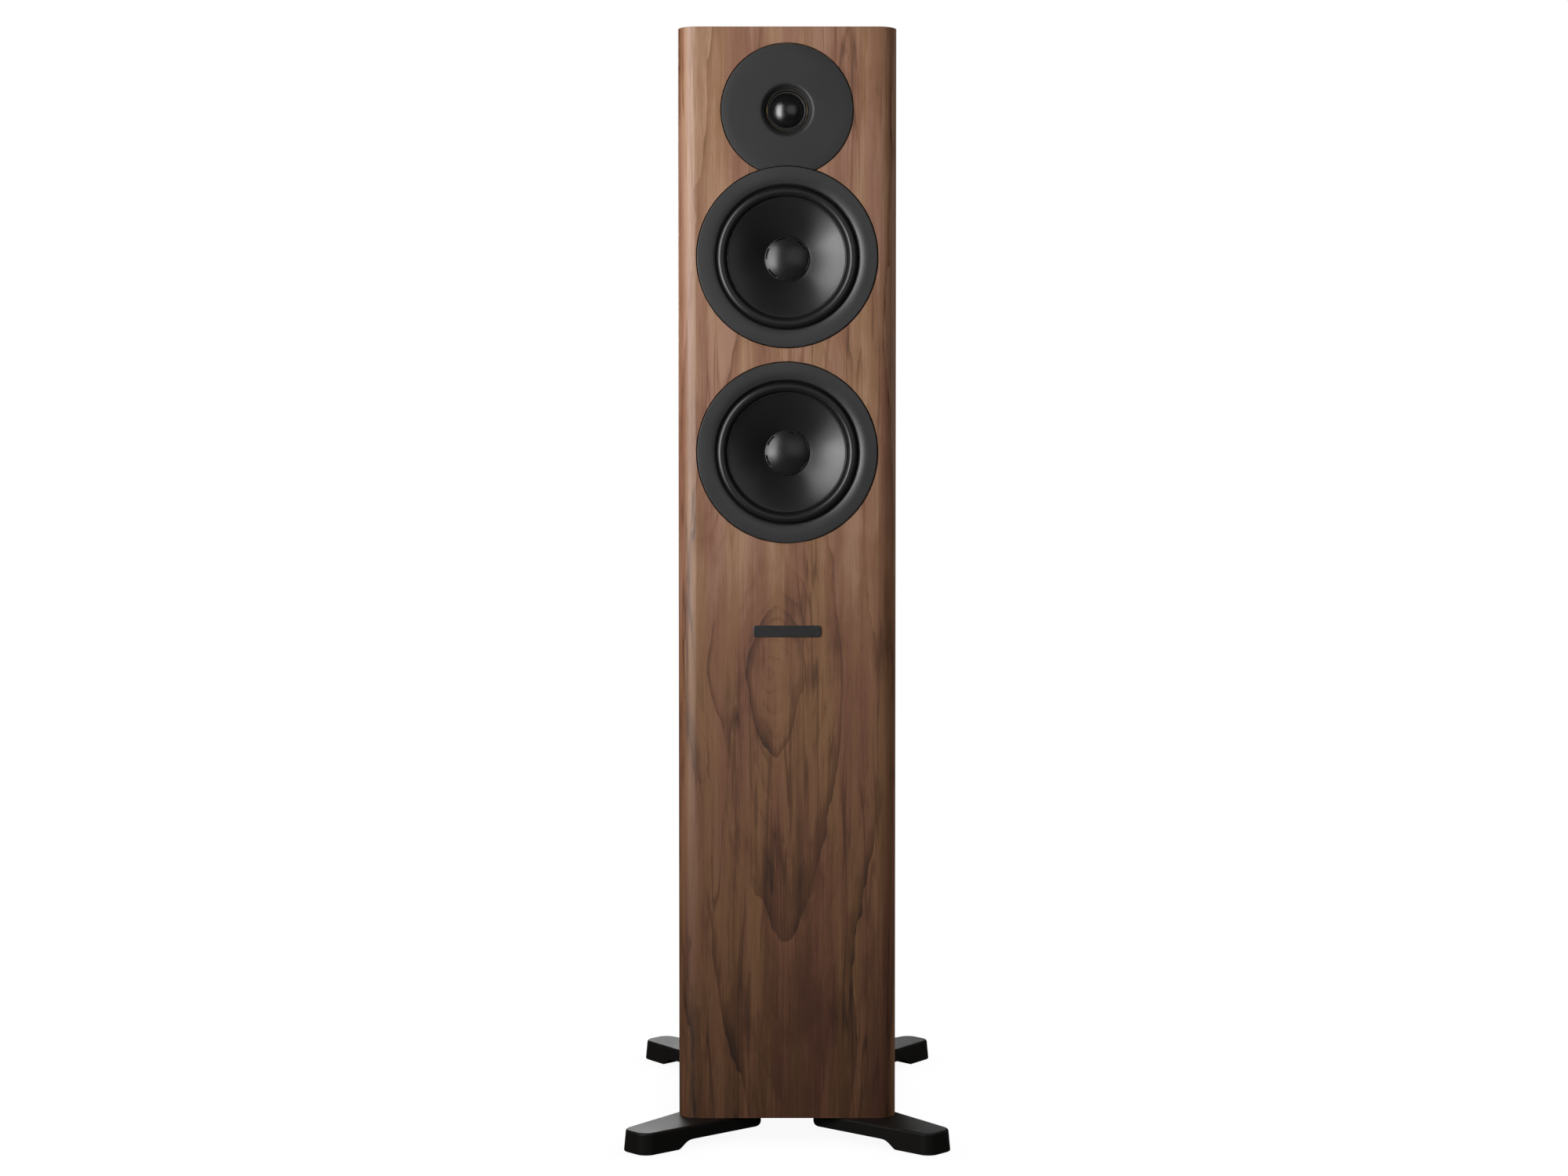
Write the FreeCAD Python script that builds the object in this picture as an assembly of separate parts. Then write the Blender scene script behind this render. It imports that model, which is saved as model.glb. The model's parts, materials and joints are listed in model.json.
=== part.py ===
"""Two-and-a-half-way floorstanding loudspeaker on four cast outrigger feet.

Units are millimetres. The origin is on the floor under the middle of the cabinet.
+Z is up, +X is to the right seen from the front, and the front of the cabinet faces -Y.
Each function builds one piece, or one group of identical pieces, in its place at rest.
"""
import FreeCAD
import Part

import math
import os

from FreeCAD import Vector

# ---------------------------------------------------------------- driving dimensions

# cabinet
cabinet_width = 180.0
cabinet_height = 900.0
cabinet_depth = 267.0
front_edge_radius = 16.0
veneer = 0.6
baffle_thickness = 18.0
side_thickness = 15.0
rear_thickness = 15.0
end_thickness = 15.0
brace_thickness = 12.0
brace_frame_width = 25.0
brace_window_corner = 18.0
brace_drops = (268.1, 478.0, 683.0)

# cast feet: a wedge seen from above, thick at its outer end and thin under the cabinet
foot_height = 18.5
foot_ground_gap = 0.7
foot_length = 122.0
foot_outer_width = 28.0
foot_inner_width = 58.0
foot_outer_corner = 11.0
foot_inner_corner = 6.0
foot_draft = 1.2
foot_top_fillet = 2.2
foot_bottom_fillet = 0.8
foot_pad_length = 33.0
foot_step_length = 15.0
foot_arm_thickness = 11.0
foot_end_rounding = 10.0
foot_step_start = (0.4, 0.16)
foot_angle = 45.6
foot_reach_side = 35.3
foot_reach_front = 44.6
foot_bolt_distances = (75.0, 106.0)
leveller_distance = 17.0

# bolts that hold the feet, M6
bolt_head_radius = 5.0
bolt_head_height = 3.6
bolt_socket_radius = 2.3
bolt_socket_depth = 2.2
bolt_shank_radius = 2.95
bolt_hole_radius = 3.0
bolt_clear_radius = 3.2
bolt_recess_radius = 6.0
bolt_seat_height = 4.5
bolt_hole_roof = 2.0
bolt_end_cover = 3.0

# levelling feet, M8 x 1.25 studs
stud_radius = 3.95
stud_bore_radius = 4.0
stud_bore_spare = 0.5
stud_top = 15.0
stud_chamfer = 0.6
wheel_radius = 9.0
wheel_bottom = 3.3
wheel_top = 5.3
wheel_flutes = 14
wheel_flute_radius = 0.8
pad_radius = 10.0
pad_height = 3.2
pad_socket_floor = 1.2
pad_edge = 0.6
pocket_radius = 10.6
pocket_top = 5.6

# driver positions, as drops below the top of the cabinet
tweeter_drop = 67.8
upper_woofer_drop = 188.0
lower_woofer_drop = 348.3
badge_drop = 495.5

# badge, left blank
badge_width = 55.6
badge_height = 9.5
badge_thickness = 1.2
badge_corner = 2.0
badge_edge = 0.4

# woofer, as radii and as depths behind the front face of the cabinet
woofer_rebate_radius = 75.0
woofer_rebate_depth = 8.5
woofer_hole_radius = 62.0
trim_outer_radius = 74.7
trim_inner_radius = 59.9
trim_roll_radius = 68.0
trim_roll_slope = 27.0
trim_proud = 1.0
flange_radius = 73.8
flange_front = 5.5
woofer_screw_circle = 69.5
woofer_screw_count = 6
surround_outer_radius = 58.5
surround_inner_radius = 50.0
surround_thickness = 0.8
surround_foot = 5.5
surround_rim_radius = 65.5
cone_radius = 50.0
cone_visible_radius = 48.2
cone_wall = 0.8
cone_neck_radius = 19.1
cone_neck_depth = 22.4
cone_neck_length = 2.5
cone_sag_depth = 12.8
dust_cap_rise = 6.5
cap_slot_count = 6
cap_slot_angle = 30.0
cap_slot_radius = 17.4
cap_slot_width = 1.0
spider_depth = 31.0
spider_outer_radius = 46.5
spider_roll_count = 4
spider_roll_end = 42.0
spider_roll_swell = 1.6
spider_thickness = 0.7
basket_back = 40.0
top_plate_thickness = 5.0
magnet_radius = 40.0
magnet_thickness = 15.0
magnet_bore_radius = 24.0
yoke_plate_thickness = 6.0
yoke_step = 2.0
yoke_vent_radius = 6.0
pole_radius = 18.2
gap_outer_radius = 20.1
former_inner_radius = 18.6
former_outer_radius = 19.0
winding_outer_radius = 19.6
winding_length = 12.0

# tweeter, in the same way
tweeter_rebate_radius = 54.9
tweeter_plate_radius = 54.6
tweeter_plate_thickness = 4.0
tweeter_hole_radius = 35.0
tweeter_flange_radius = 44.3
tweeter_flange_thickness = 2.5
tweeter_flange_play = 0.3
tweeter_bite_gap = 0.6
tweeter_screw_circle = 39.6
tweeter_screw_count = 4
tweeter_screw_angle = 45.0
waveguide_radius = 22.5
waveguide_throat = 17.1
hub_radius = 30.0
hub_depth = 6.0
dome_radius = 13.8
dome_rim_depth = 6.8
dome_rise = 6.8
dome_wall = 0.3
tweeter_ring_radius = 16.4
tweeter_motor_front = 10.0
tweeter_plate_gap = 3.0
tweeter_magnet_radius = 29.0
tweeter_magnet_thickness = 8.0
tweeter_magnet_bore = 18.0
tweeter_gap_radius = 14.9
tweeter_yoke_thickness = 5.0
tweeter_pole_radius = 13.2
tweeter_chamber_radius = 25.0
tweeter_chamber_length = 20.0

# screws
screw_radius = 1.9
screw_hole_radius = 2.0
screw_head_radius = 3.8
screw_length = 12.0
screw_hole_spare = 0.5
screw_sink_depth = 2.0

# reflex port on the back
port_drop = 588.0
port_bore_radius = 25.0
port_wall = 2.0
port_length = 118.0
port_flare_radius = 40.0
port_flare_depth = 18.0
port_flange_radius = 46.0
port_flange_edge = 1.0
port_flange_thickness = 2.5
port_hole_radius = 39.4

# connection plate on the back, with two M7 x 1 binding posts
terminal_drop = 800.0
terminal_width = 104.0
terminal_height = 70.0
terminal_thickness = 3.0
terminal_corner = 7.0
terminal_edge = 0.8
terminal_screw_inset = 6.0
terminal_opening_margin = 12.0
post_spacing = 38.0
post_radius = 3.5
post_tail = 20.0
post_length = 20.0
post_nut_radius = 6.5
post_nut_height = 4.0
plug_bore_radius = 2.0
plug_bore_depth = 17.0
collar_radius = 8.5
collar_height = 3.0
washer_radius = 7.4
washer_thickness = 1.0
knob_radius = 8.0
knob_length = 18.0
knob_bore_radius = 3.55
knob_mouth_radius = 3.0
knob_flutes = 16
knob_flute_radius = 0.8
knob_flute_margin = 3.0

# crossover
board_width = 120.0
board_length = 176.0
board_thickness = 2.0
upright_coils = ((-34.0, -58.0, 23.0, 20.0), (32.0, -56.0, 26.0, 24.0))
lying_coil = (-38.0, 4.0, 17.0, 20.0)
coil_bore_share = 0.45
capacitor_radii = (11.0, 10.0, 8.0, 8.0)
capacitor_first_x = -44.0
capacitor_pitch = 23.0
capacitor_front = 34.0
capacitor_stagger = 2.0
capacitor_back = 74.0
capacitor_edge = 1.5
resistor_count = 3
resistor_x = 2.0
resistor_first_y = -14.0
resistor_pitch = 15.0
resistor_length = 48.0
resistor_side = 9.0
resistor_edge = 0.8

# wiring
cable_radius = 1.5
cable_rise_start = 180.0
cable_rise_end = 290.0
woofer_tag_depth = 62.0
woofer_tag_rise = 46.0
tweeter_tag_depth = 44.0

# wadding
wadding_half_width = 66.0
wadding_thickness = 40.0
wadding_gap = 2.0
wadding_edge = 12.0
wadding_levels = ((672.0, 880.0), (462.0, 628.0), (166.0, 226.0))

# running clearance on a radius, how far a cutting tool reaches past a face, and a small tolerance
clearance = 0.05
overcut = 1.0
tiny = 0.01

# ---------------------------------------------------------------- places worked out from them

cabinet_bottom = foot_height
cabinet_top = foot_height + cabinet_height
foot_arm_z = foot_height - foot_arm_thickness
front_y = -cabinet_depth / 2
back_y = cabinet_depth / 2
shell_half_width = cabinet_width / 2 - veneer
inner_half_width = shell_half_width - side_thickness
baffle_front = front_y + veneer
baffle_back = baffle_front + baffle_thickness
rear_inside = back_y - rear_thickness
shell_top = cabinet_top - veneer
floor_of_box = cabinet_bottom + end_thickness
tweeter_z = cabinet_top - tweeter_drop
upper_woofer_z = cabinet_top - upper_woofer_drop
lower_woofer_z = cabinet_top - lower_woofer_drop
woofer_heights = (upper_woofer_z, lower_woofer_z)
terminal_z = cabinet_top - terminal_drop
port_z = cabinet_top - port_drop
plate_back_face = back_y + terminal_thickness
board_top = floor_of_box + board_thickness
magnet_back = basket_back + top_plate_thickness + magnet_thickness
tweeter_plate_back = tweeter_motor_front + tweeter_plate_gap
tweeter_magnet_back = tweeter_plate_back + tweeter_magnet_thickness

# ---------------------------------------------------------------- helpers


def block(x_from, x_to, y_from, y_to, z_from, z_to):
    """Box between two corners."""
    corner = Vector(x_from, y_from, z_from)
    return Part.makeBox(x_to - x_from, y_to - y_from, z_to - z_from, corner)


def bar_y(radius, y_from, y_to, x=0.0, z=0.0):
    """Round bar along Y."""
    return Part.makeCylinder(radius, y_to - y_from, Vector(x, y_from, z), Vector(0, 1, 0))


def bar_z(radius, z_from, z_to, x=0.0, y=0.0):
    """Upright round bar."""
    return Part.makeCylinder(radius, z_to - z_from, Vector(x, y, z_from))


def flat_outline(start, *steps):
    """Closed face in the XY plane. A step is a corner, or (middle, end) of an arc."""
    edges = []
    here = start
    for step in steps:
        if isinstance(step[0], tuple):
            middle, end = step
            edges.append(Part.Arc(Vector(*here), Vector(*middle), Vector(*end)).toShape())
        else:
            end = step
            edges.append(Part.makeLine(Vector(*here), Vector(*end)))
        here = end
    if here != start:
        edges.append(Part.makeLine(Vector(*here), Vector(*start)))
    return Part.Face(Part.Wire(edges))


def turned(start, *steps, x=0.0, y=front_y, z=0.0):
    """Turned piece on a front-to-back axis. Points are (radius, depth behind y)."""
    section = flat_outline(start, *steps)
    solid = section.revolve(Vector(0, 0, 0), Vector(0, 1, 0), 360)
    solid.translate(Vector(x, y, z))
    return solid


def turned_upright(start, *steps, x=0.0, y=0.0):
    """Turned piece on an upright axis. Points are (radius, height)."""
    section = flat_outline(start, *steps)
    solid = section.revolve(Vector(0, 0, 0), Vector(0, 1, 0), 360)
    solid.rotate(Vector(0, 0, 0), Vector(1, 0, 0), 90)
    solid.translate(Vector(x, y, 0))
    return solid


def around_y(shape, count, z, first_angle=0.0):
    """Copies of a shape, evenly spaced about the front-to-back axis at height z."""
    copies = []
    for number in range(count):
        copy = shape.copy()
        angle = first_angle + number * 360.0 / count
        copy.rotate(Vector(0, 0, z), Vector(0, 1, 0), angle)
        copies.append(copy)
    return copies


def upright_edges(shape, test):
    """The straight vertical edges of a shape whose middle passes a test."""
    chosen = []
    for edge in shape.Edges:
        ends = [vertex.Point for vertex in edge.Vertexes]
        upright = len(ends) == 2 and abs(ends[0].x - ends[1].x) + abs(ends[0].y - ends[1].y) < tiny
        if upright and test(edge.CenterOfMass):
            chosen.append(edge)
    return chosen


def group(shapes):
    """Several separate solids in one node."""
    return Part.makeCompound(list(shapes))


def cable(*points):
    """Round cable on a smooth curve through the given points."""
    curve = Part.BSplineCurve()
    curve.interpolate([Vector(*point) for point in points])
    path = Part.Wire(curve.toShape())
    start = curve.value(curve.FirstParameter)
    direction = curve.tangent(curve.FirstParameter)[0]
    circle = Part.Wire(Part.makeCircle(cable_radius, start, direction))
    return path.makePipeShell([circle], True, True)


def mirrored_x(shape):
    return shape.mirror(Vector(0, 0, 0), Vector(1, 0, 0))


def mirrored_y(shape):
    return shape.mirror(Vector(0, 0, 0), Vector(0, 1, 0))


# ---------------------------------------------------------------- cabinet


def cabinet_block(inset, z_from, z_to):
    """Cabinet-shaped block, with its front vertical edges rounded, inset on front and sides."""
    half_width = cabinet_width / 2 - inset
    solid = block(-half_width, half_width, front_y + inset, back_y, z_from, z_to)
    front_edges = upright_edges(solid, lambda middle: middle.y < 0)
    return solid.makeFillet(front_edge_radius - inset, front_edges)


def driver_rebates():
    """Space that the three drivers take in the front panel and its veneer."""
    flange_back = front_y + tweeter_plate_thickness + tweeter_flange_thickness
    flange_recess = tweeter_flange_radius + tweeter_flange_play
    cuts = [
        bar_y(tweeter_rebate_radius, front_y - overcut, front_y + tweeter_plate_thickness, z=tweeter_z),
        bar_y(flange_recess, front_y, flange_back, z=tweeter_z),
        bar_y(tweeter_hole_radius, front_y, baffle_back + overcut, z=tweeter_z),
    ]
    for z in woofer_heights:
        cuts.append(bar_y(woofer_rebate_radius, front_y - overcut, front_y + woofer_rebate_depth, z=z))
        cuts.append(bar_y(woofer_hole_radius, front_y, baffle_back + overcut, z=z))
    return cuts


def driver_screw_places():
    """(height, circle radius, depth of the head, count, first angle) of each ring of screws."""
    tweeter_ring = (tweeter_z, tweeter_screw_circle, tweeter_plate_thickness, tweeter_screw_count,
                    tweeter_screw_angle)
    woofer_rings = [(z, woofer_screw_circle, flange_front, woofer_screw_count, 0.0)
                    for z in woofer_heights]
    return [tweeter_ring] + woofer_rings


def driver_screw_holes():
    holes = []
    for z, circle, depth, count, first_angle in driver_screw_places():
        start = front_y + depth
        hole = bar_y(screw_hole_radius, start, start + screw_length + screw_hole_spare, x=circle, z=z)
        holes += around_y(hole, count, z, first_angle)
    return holes


def front_baffle():
    panel = cabinet_block(veneer, floor_of_box, shell_top)
    behind = block(-cabinet_width, cabinet_width, baffle_back, back_y + overcut, 0, cabinet_top)
    return panel.cut(behind).cut(driver_rebates() + driver_screw_holes())


def side_panel(side):
    x_inner = side * inner_half_width
    x_outer = side * shell_half_width
    x_from, x_to = sorted((x_inner, x_outer))
    return block(x_from, x_to, baffle_back, back_y, floor_of_box, shell_top)


def terminal_screw_places():
    x = terminal_width / 2 - terminal_screw_inset
    z = terminal_height / 2 - terminal_screw_inset
    return [(sx * x, terminal_z + sz * z) for sx in (-1, 1) for sz in (-1, 1)]


def rear_panel():
    panel = block(-inner_half_width, inner_half_width, rear_inside, back_y, floor_of_box, shell_top)
    opening_x = terminal_width / 2 - terminal_opening_margin
    opening_z = terminal_height / 2 - terminal_opening_margin
    cuts = [
        bar_y(port_hole_radius, rear_inside - overcut, back_y + overcut, z=port_z),
        block(-opening_x, opening_x, rear_inside - overcut, back_y + overcut,
              terminal_z - opening_z, terminal_z + opening_z),
    ]
    for x, z in terminal_screw_places():
        cuts.append(bar_y(screw_hole_radius, back_y - screw_length, back_y, x=x, z=z))
    return panel.cut(cuts)


def top_panel():
    return block(-inner_half_width, inner_half_width, baffle_back, rear_inside,
                 shell_top - end_thickness, shell_top)


def foot_bolt_places():
    """Bolt centres under the cabinet, for all four feet."""
    angle = math.radians(foot_angle)
    places = []
    for distance in foot_bolt_distances:
        x = cabinet_width / 2 + foot_reach_side - distance * math.cos(angle)
        y = front_y - foot_reach_front + distance * math.sin(angle)
        places += [(sx * x, sy * y) for sx in (-1, 1) for sy in (-1, 1)]
    return places


def bottom_panel():
    panel = cabinet_block(veneer, cabinet_bottom, floor_of_box)
    hole_top = floor_of_box - bolt_hole_roof
    holes = [bar_z(bolt_hole_radius, cabinet_bottom - overcut, hole_top, x, y)
             for x, y in foot_bolt_places()]
    return panel.cut(holes)


def veneer_skins():
    """Walnut skin round the front and sides, and the skin on the top."""
    wrap = cabinet_block(0, cabinet_bottom, cabinet_top)
    wrap = wrap.cut(cabinet_block(veneer, cabinet_bottom - overcut, cabinet_top + overcut))
    wrap = wrap.cut(driver_rebates())
    top = cabinet_block(veneer, shell_top, cabinet_top)
    return group([wrap, top])


def window_braces():
    """Shelves with a window in the middle, glued in between the side panels."""
    braces = []
    for drop in brace_drops:
        z = cabinet_top - drop
        shelf = block(-inner_half_width, inner_half_width, baffle_back, rear_inside,
                      z - brace_thickness / 2, z + brace_thickness / 2)
        window_half_width = inner_half_width - brace_frame_width
        window = block(-window_half_width, window_half_width,
                       baffle_back + brace_frame_width, rear_inside - brace_frame_width,
                       z - brace_thickness, z + brace_thickness)
        window = window.makeFillet(brace_window_corner, upright_edges(window, lambda middle: True))
        braces.append(shelf.cut(window))
    return group(braces)


def acoustic_wadding():
    """Felted pads resting against the rear panel, above the port and below it."""
    back = rear_inside - wadding_gap
    pads = []
    for z_from, z_to in wadding_levels:
        pad = block(-wadding_half_width, wadding_half_width, back - wadding_thickness, back, z_from, z_to)
        pads.append(pad.makeFillet(wadding_edge, pad.Edges))
    return group(pads)


def front_badge():
    """Blank plate stuck to the front."""
    z = cabinet_top - badge_drop
    front = front_y - badge_thickness
    plate = block(-badge_width / 2, badge_width / 2, front, front_y,
                  z - badge_height / 2, z + badge_height / 2)
    ends = [edge for edge in plate.Edges if abs(edge.BoundBox.YLength - badge_thickness) < tiny]
    plate = plate.makeFillet(badge_corner, ends)
    rim = [edge for edge in plate.Edges if edge.BoundBox.YMax < front + tiny]
    return plate.makeFillet(badge_edge, rim)


# ---------------------------------------------------------------- feet


def tapered_block():
    """Wedge-shaped block, slightly wider at the bottom than at the top."""
    wires = []
    for z, spread in ((foot_ground_gap, foot_draft), (foot_height, 0.0)):
        outer = foot_outer_width / 2 + spread
        inner = foot_inner_width / 2 + spread
        corners = [(-spread, -outer), (foot_length, -inner), (foot_length, inner), (-spread, outer)]
        points = [Vector(x, y, z) for x, y in corners]
        wires.append(Part.makePolygon(points + points[:1]))
    return Part.makeLoft(wires, True, True)


def foot_underside():
    """Space below the arm: an S-shaped step, a flat, and a round end under the cabinet."""
    step_end = foot_pad_length + foot_step_length
    flat_end = foot_length - foot_end_rounding
    round_top = foot_arm_z + foot_end_rounding
    low = -overcut
    beyond = foot_length + 10 * overcut

    def at(x, z):
        return Vector(x, 0, z)

    step = Part.BSplineCurve()
    step.interpolate([at(foot_pad_length, foot_ground_gap), at(step_end, foot_arm_z)],
                     InitialTangent=at(*foot_step_start), FinalTangent=at(1, 0))
    corner = foot_end_rounding * (1 - math.sqrt(0.5))
    end_round = Part.Arc(at(flat_end, foot_arm_z), at(foot_length - corner, foot_arm_z + corner),
                         at(foot_length, round_top))
    edges = [
        Part.makeLine(at(foot_pad_length, low), at(foot_pad_length, foot_ground_gap)),
        step.toShape(),
        Part.makeLine(at(step_end, foot_arm_z), at(flat_end, foot_arm_z)),
        end_round.toShape(),
        Part.makeLine(at(foot_length, round_top), at(beyond, round_top)),
        Part.makeLine(at(beyond, round_top), at(beyond, low)),
        Part.makeLine(at(beyond, low), at(foot_pad_length, low)),
    ]
    section = Part.Face(Part.Wire(edges))
    section.translate(Vector(0, -foot_inner_width, 0))
    return section.extrude(Vector(0, 2 * foot_inner_width, 0))


def standing_edges(body, x_from, x_to):
    """The nearly vertical edges of a foot between two distances from its outer end."""
    return [edge for edge in body.Edges
            if edge.BoundBox.ZLength > foot_height / 2 and x_from < edge.CenterOfMass.x < x_to]


def cast_foot():
    """One foot along +X from its outer end, before it is turned into place."""
    body = tapered_block()
    body = body.makeFillet(foot_outer_corner, standing_edges(body, -foot_draft, foot_length / 2))
    near_inner_end = foot_length - foot_inner_corner
    body = body.makeFillet(foot_inner_corner, standing_edges(body, near_inner_end, foot_length + tiny))
    top_rim = [edge for edge in body.Edges
               if edge.BoundBox.ZMin > foot_height - tiny and edge.CenterOfMass.x < near_inner_end - 1]
    body = body.makeFillet(foot_top_fillet, top_rim)
    bottom_rim = [edge for edge in body.Edges
                  if edge.BoundBox.ZMax < foot_ground_gap + tiny
                  and edge.CenterOfMass.x < near_inner_end - 1]
    body = body.makeFillet(foot_bottom_fillet, bottom_rim)
    cuts = [
        foot_underside(),
        bar_z(pocket_radius, -overcut, pocket_top, leveller_distance),
        bar_z(stud_bore_radius, 0, stud_top + stud_bore_spare, leveller_distance),
    ]
    for distance in foot_bolt_distances:
        cuts.append(bar_z(bolt_recess_radius, 0, foot_arm_z + bolt_seat_height, distance))
        cuts.append(bar_z(bolt_clear_radius, 0, foot_height + overcut, distance))
    return body.cut(cuts)


def placed_foot(shape, right, front):
    """A shape drawn along one foot, moved to one of the four corners."""
    placed = shape.copy()
    placed.rotate(Vector(0, 0, 0), Vector(0, 0, 1), 180 - foot_angle)
    placed.translate(Vector(cabinet_width / 2 + foot_reach_side, front_y - foot_reach_front, 0))
    if not right:
        placed = mirrored_x(placed)
    if not front:
        placed = mirrored_y(placed)
    return placed


def foot_bolts():
    """Socket-head bolts that hold the feet to the bottom panel, two in each foot."""
    head_top = foot_arm_z + bolt_seat_height
    head_bottom = head_top - bolt_head_height
    bolts = []
    for x, y in foot_bolt_places():
        head = bar_z(bolt_head_radius, head_bottom, head_top, x, y)
        socket = bar_z(bolt_socket_radius, head_bottom, head_bottom + bolt_socket_depth, x, y)
        shank = bar_z(bolt_shank_radius, head_top, floor_of_box - bolt_end_cover, x, y)
        bolts.append(head.cut(socket).fuse(shank).removeSplitter())
    return group(bolts)


def levelling_pad():
    """Rubber disc that stands on the floor, with a socket for the end of the stud."""
    socket = stud_radius + clearance
    return turned_upright((0, 0), (pad_radius - pad_edge, 0), (pad_radius, pad_edge),
                          (pad_radius, pad_height), (socket, pad_height),
                          (socket, pad_socket_floor), (0, pad_socket_floor), x=leveller_distance)


def levelling_stud():
    """Threaded stud with a fluted thumb wheel and a plain end that turns in the pad."""
    bottom = pad_socket_floor + clearance
    stud = turned_upright((0, bottom), (stud_radius, bottom),
                          (stud_radius, wheel_bottom), (wheel_radius, wheel_bottom),
                          (wheel_radius, wheel_top), (stud_radius, wheel_top),
                          (stud_radius, stud_top - stud_chamfer),
                          (stud_radius - stud_chamfer, stud_top), (0, stud_top), x=leveller_distance)
    flutes = []
    for number in range(wheel_flutes):
        angle = number * 2 * math.pi / wheel_flutes
        x = leveller_distance + wheel_radius * math.cos(angle)
        y = wheel_radius * math.sin(angle)
        flutes.append(bar_z(wheel_flute_radius, wheel_bottom - overcut, wheel_top + overcut, x, y))
    return stud.cut(flutes)


# ---------------------------------------------------------------- woofers


def woofer_basket(z):
    """Cast frame: flange, six spokes, ledge for the spider and seat for the motor."""
    flange_inner = 58.0
    flange_back_inner = 61.3
    skirt_end = (50.0, spider_depth + 2)
    ledge_inner = 43.0
    ledge_outer = 47.5
    seat_radius = 46.0
    seat_bore = 30.0
    seat_thickness = 3.0
    wall_top = 9.0
    window_width = 40.0
    window_depths = (12.0, 28.0)
    window_reach = (40.0, 75.0)
    frame = turned((flange_inner, flange_front), (flange_radius, flange_front),
                   (flange_radius, woofer_rebate_depth), (flange_back_inner, woofer_rebate_depth),
                   skirt_end, (seat_radius, basket_back), (seat_bore, basket_back),
                   (seat_bore, basket_back - seat_thickness), (ledge_inner, basket_back - seat_thickness),
                   (ledge_inner, spider_depth), (ledge_outer, spider_depth), (flange_inner, wall_top), z=z)
    window = block(-window_width / 2, window_width / 2,
                   front_y + window_depths[0], front_y + window_depths[1],
                   z + window_reach[0], z + window_reach[1])
    screw = bar_y(screw_hole_radius, front_y + flange_front - overcut,
                  front_y + woofer_rebate_depth + overcut, x=woofer_screw_circle, z=z)
    sink = bar_y(screw_head_radius + clearance, front_y + flange_front - overcut,
                 front_y + flange_front + screw_sink_depth, x=woofer_screw_circle, z=z)
    cuts = []
    for cutter in (window, screw, sink):
        cuts += around_y(cutter, woofer_screw_count, z)
    return frame.cut(cuts)


def woofer_trim_ring(z):
    """Cover ring: a flat outer band, then a band that bends back to a sharp inner lip."""
    slope = math.radians(trim_roll_slope)
    bend = (trim_roll_radius - trim_inner_radius) / math.sin(slope)
    lip = bend * (1 - math.cos(slope)) - trim_proud
    fall_middle = (trim_roll_radius - bend * math.sin(slope / 2),
                   bend * (1 - math.cos(slope / 2)) - trim_proud)
    edge = 0.8
    edge_bulge = edge * (1 - math.sqrt(0.5))
    seat_radius = 66.0
    rim_seat = flange_front - surround_thickness
    return turned((trim_inner_radius, rim_seat), (trim_inner_radius, lip),
                  (fall_middle, (trim_roll_radius, -trim_proud)),
                  (trim_outer_radius - edge, -trim_proud),
                  ((trim_outer_radius - edge_bulge, -trim_proud + edge_bulge),
                   (trim_outer_radius, -trim_proud + edge)),
                  (trim_outer_radius, flange_front), (seat_radius, flange_front),
                  (seat_radius, rim_seat), z=z)


def woofer_surround(z):
    """Rubber half roll between the cone and the flange, with a flat rim on each side."""
    back = surround_foot
    front = back - surround_thickness
    middle = (surround_outer_radius + surround_inner_radius) / 2
    roll = (surround_outer_radius - surround_inner_radius) / 2
    inner_roll = roll - surround_thickness
    return turned((cone_visible_radius, front), (surround_inner_radius, front),
                  ((middle, front - roll), (surround_outer_radius, front)),
                  (surround_rim_radius, front), (surround_rim_radius, back),
                  (middle + inner_roll, back), ((middle, back - inner_roll), (middle - inner_roll, back)),
                  (cone_visible_radius, back), z=z)


def woofer_cone(z):
    """Shallow moulded cone with a flat outer rim and a short neck."""
    rim = surround_foot
    sag_radius = (cone_visible_radius + cone_neck_radius) / 2
    neck_outer = cone_neck_radius + cone_wall
    neck_end = cone_neck_depth + cone_neck_length
    slant = 0.2
    return turned((cone_radius, rim), (cone_visible_radius, rim),
                  ((sag_radius, cone_sag_depth), (cone_neck_radius, cone_neck_depth)),
                  (cone_neck_radius, neck_end), (neck_outer, neck_end),
                  (neck_outer, cone_neck_depth + cone_wall + 2 * slant),
                  ((sag_radius + slant, cone_sag_depth + cone_wall + slant),
                   (cone_visible_radius + slant, rim + cone_wall)),
                  (cone_radius, rim + cone_wall), z=z)


def dome_shell(radius, rise, wall, rim_depth, z):
    """Part of a hollow sphere that bulges forwards from its rim."""
    sphere = (radius ** 2 + rise ** 2) / (2 * rise)
    centre = rim_depth - rise + sphere
    inner_sphere = sphere - wall
    outer_turn = math.asin(radius / sphere)
    inner_turn = math.acos((centre - rim_depth) / inner_sphere)

    def on_sphere(size, turn):
        return (size * math.sin(turn), centre - size * math.cos(turn))

    return turned((0, rim_depth - rise), (on_sphere(sphere, outer_turn / 2), (radius, rim_depth)),
                  on_sphere(inner_sphere, inner_turn),
                  (on_sphere(inner_sphere, inner_turn / 2), (0, rim_depth - rise + wall)), z=z)


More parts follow.
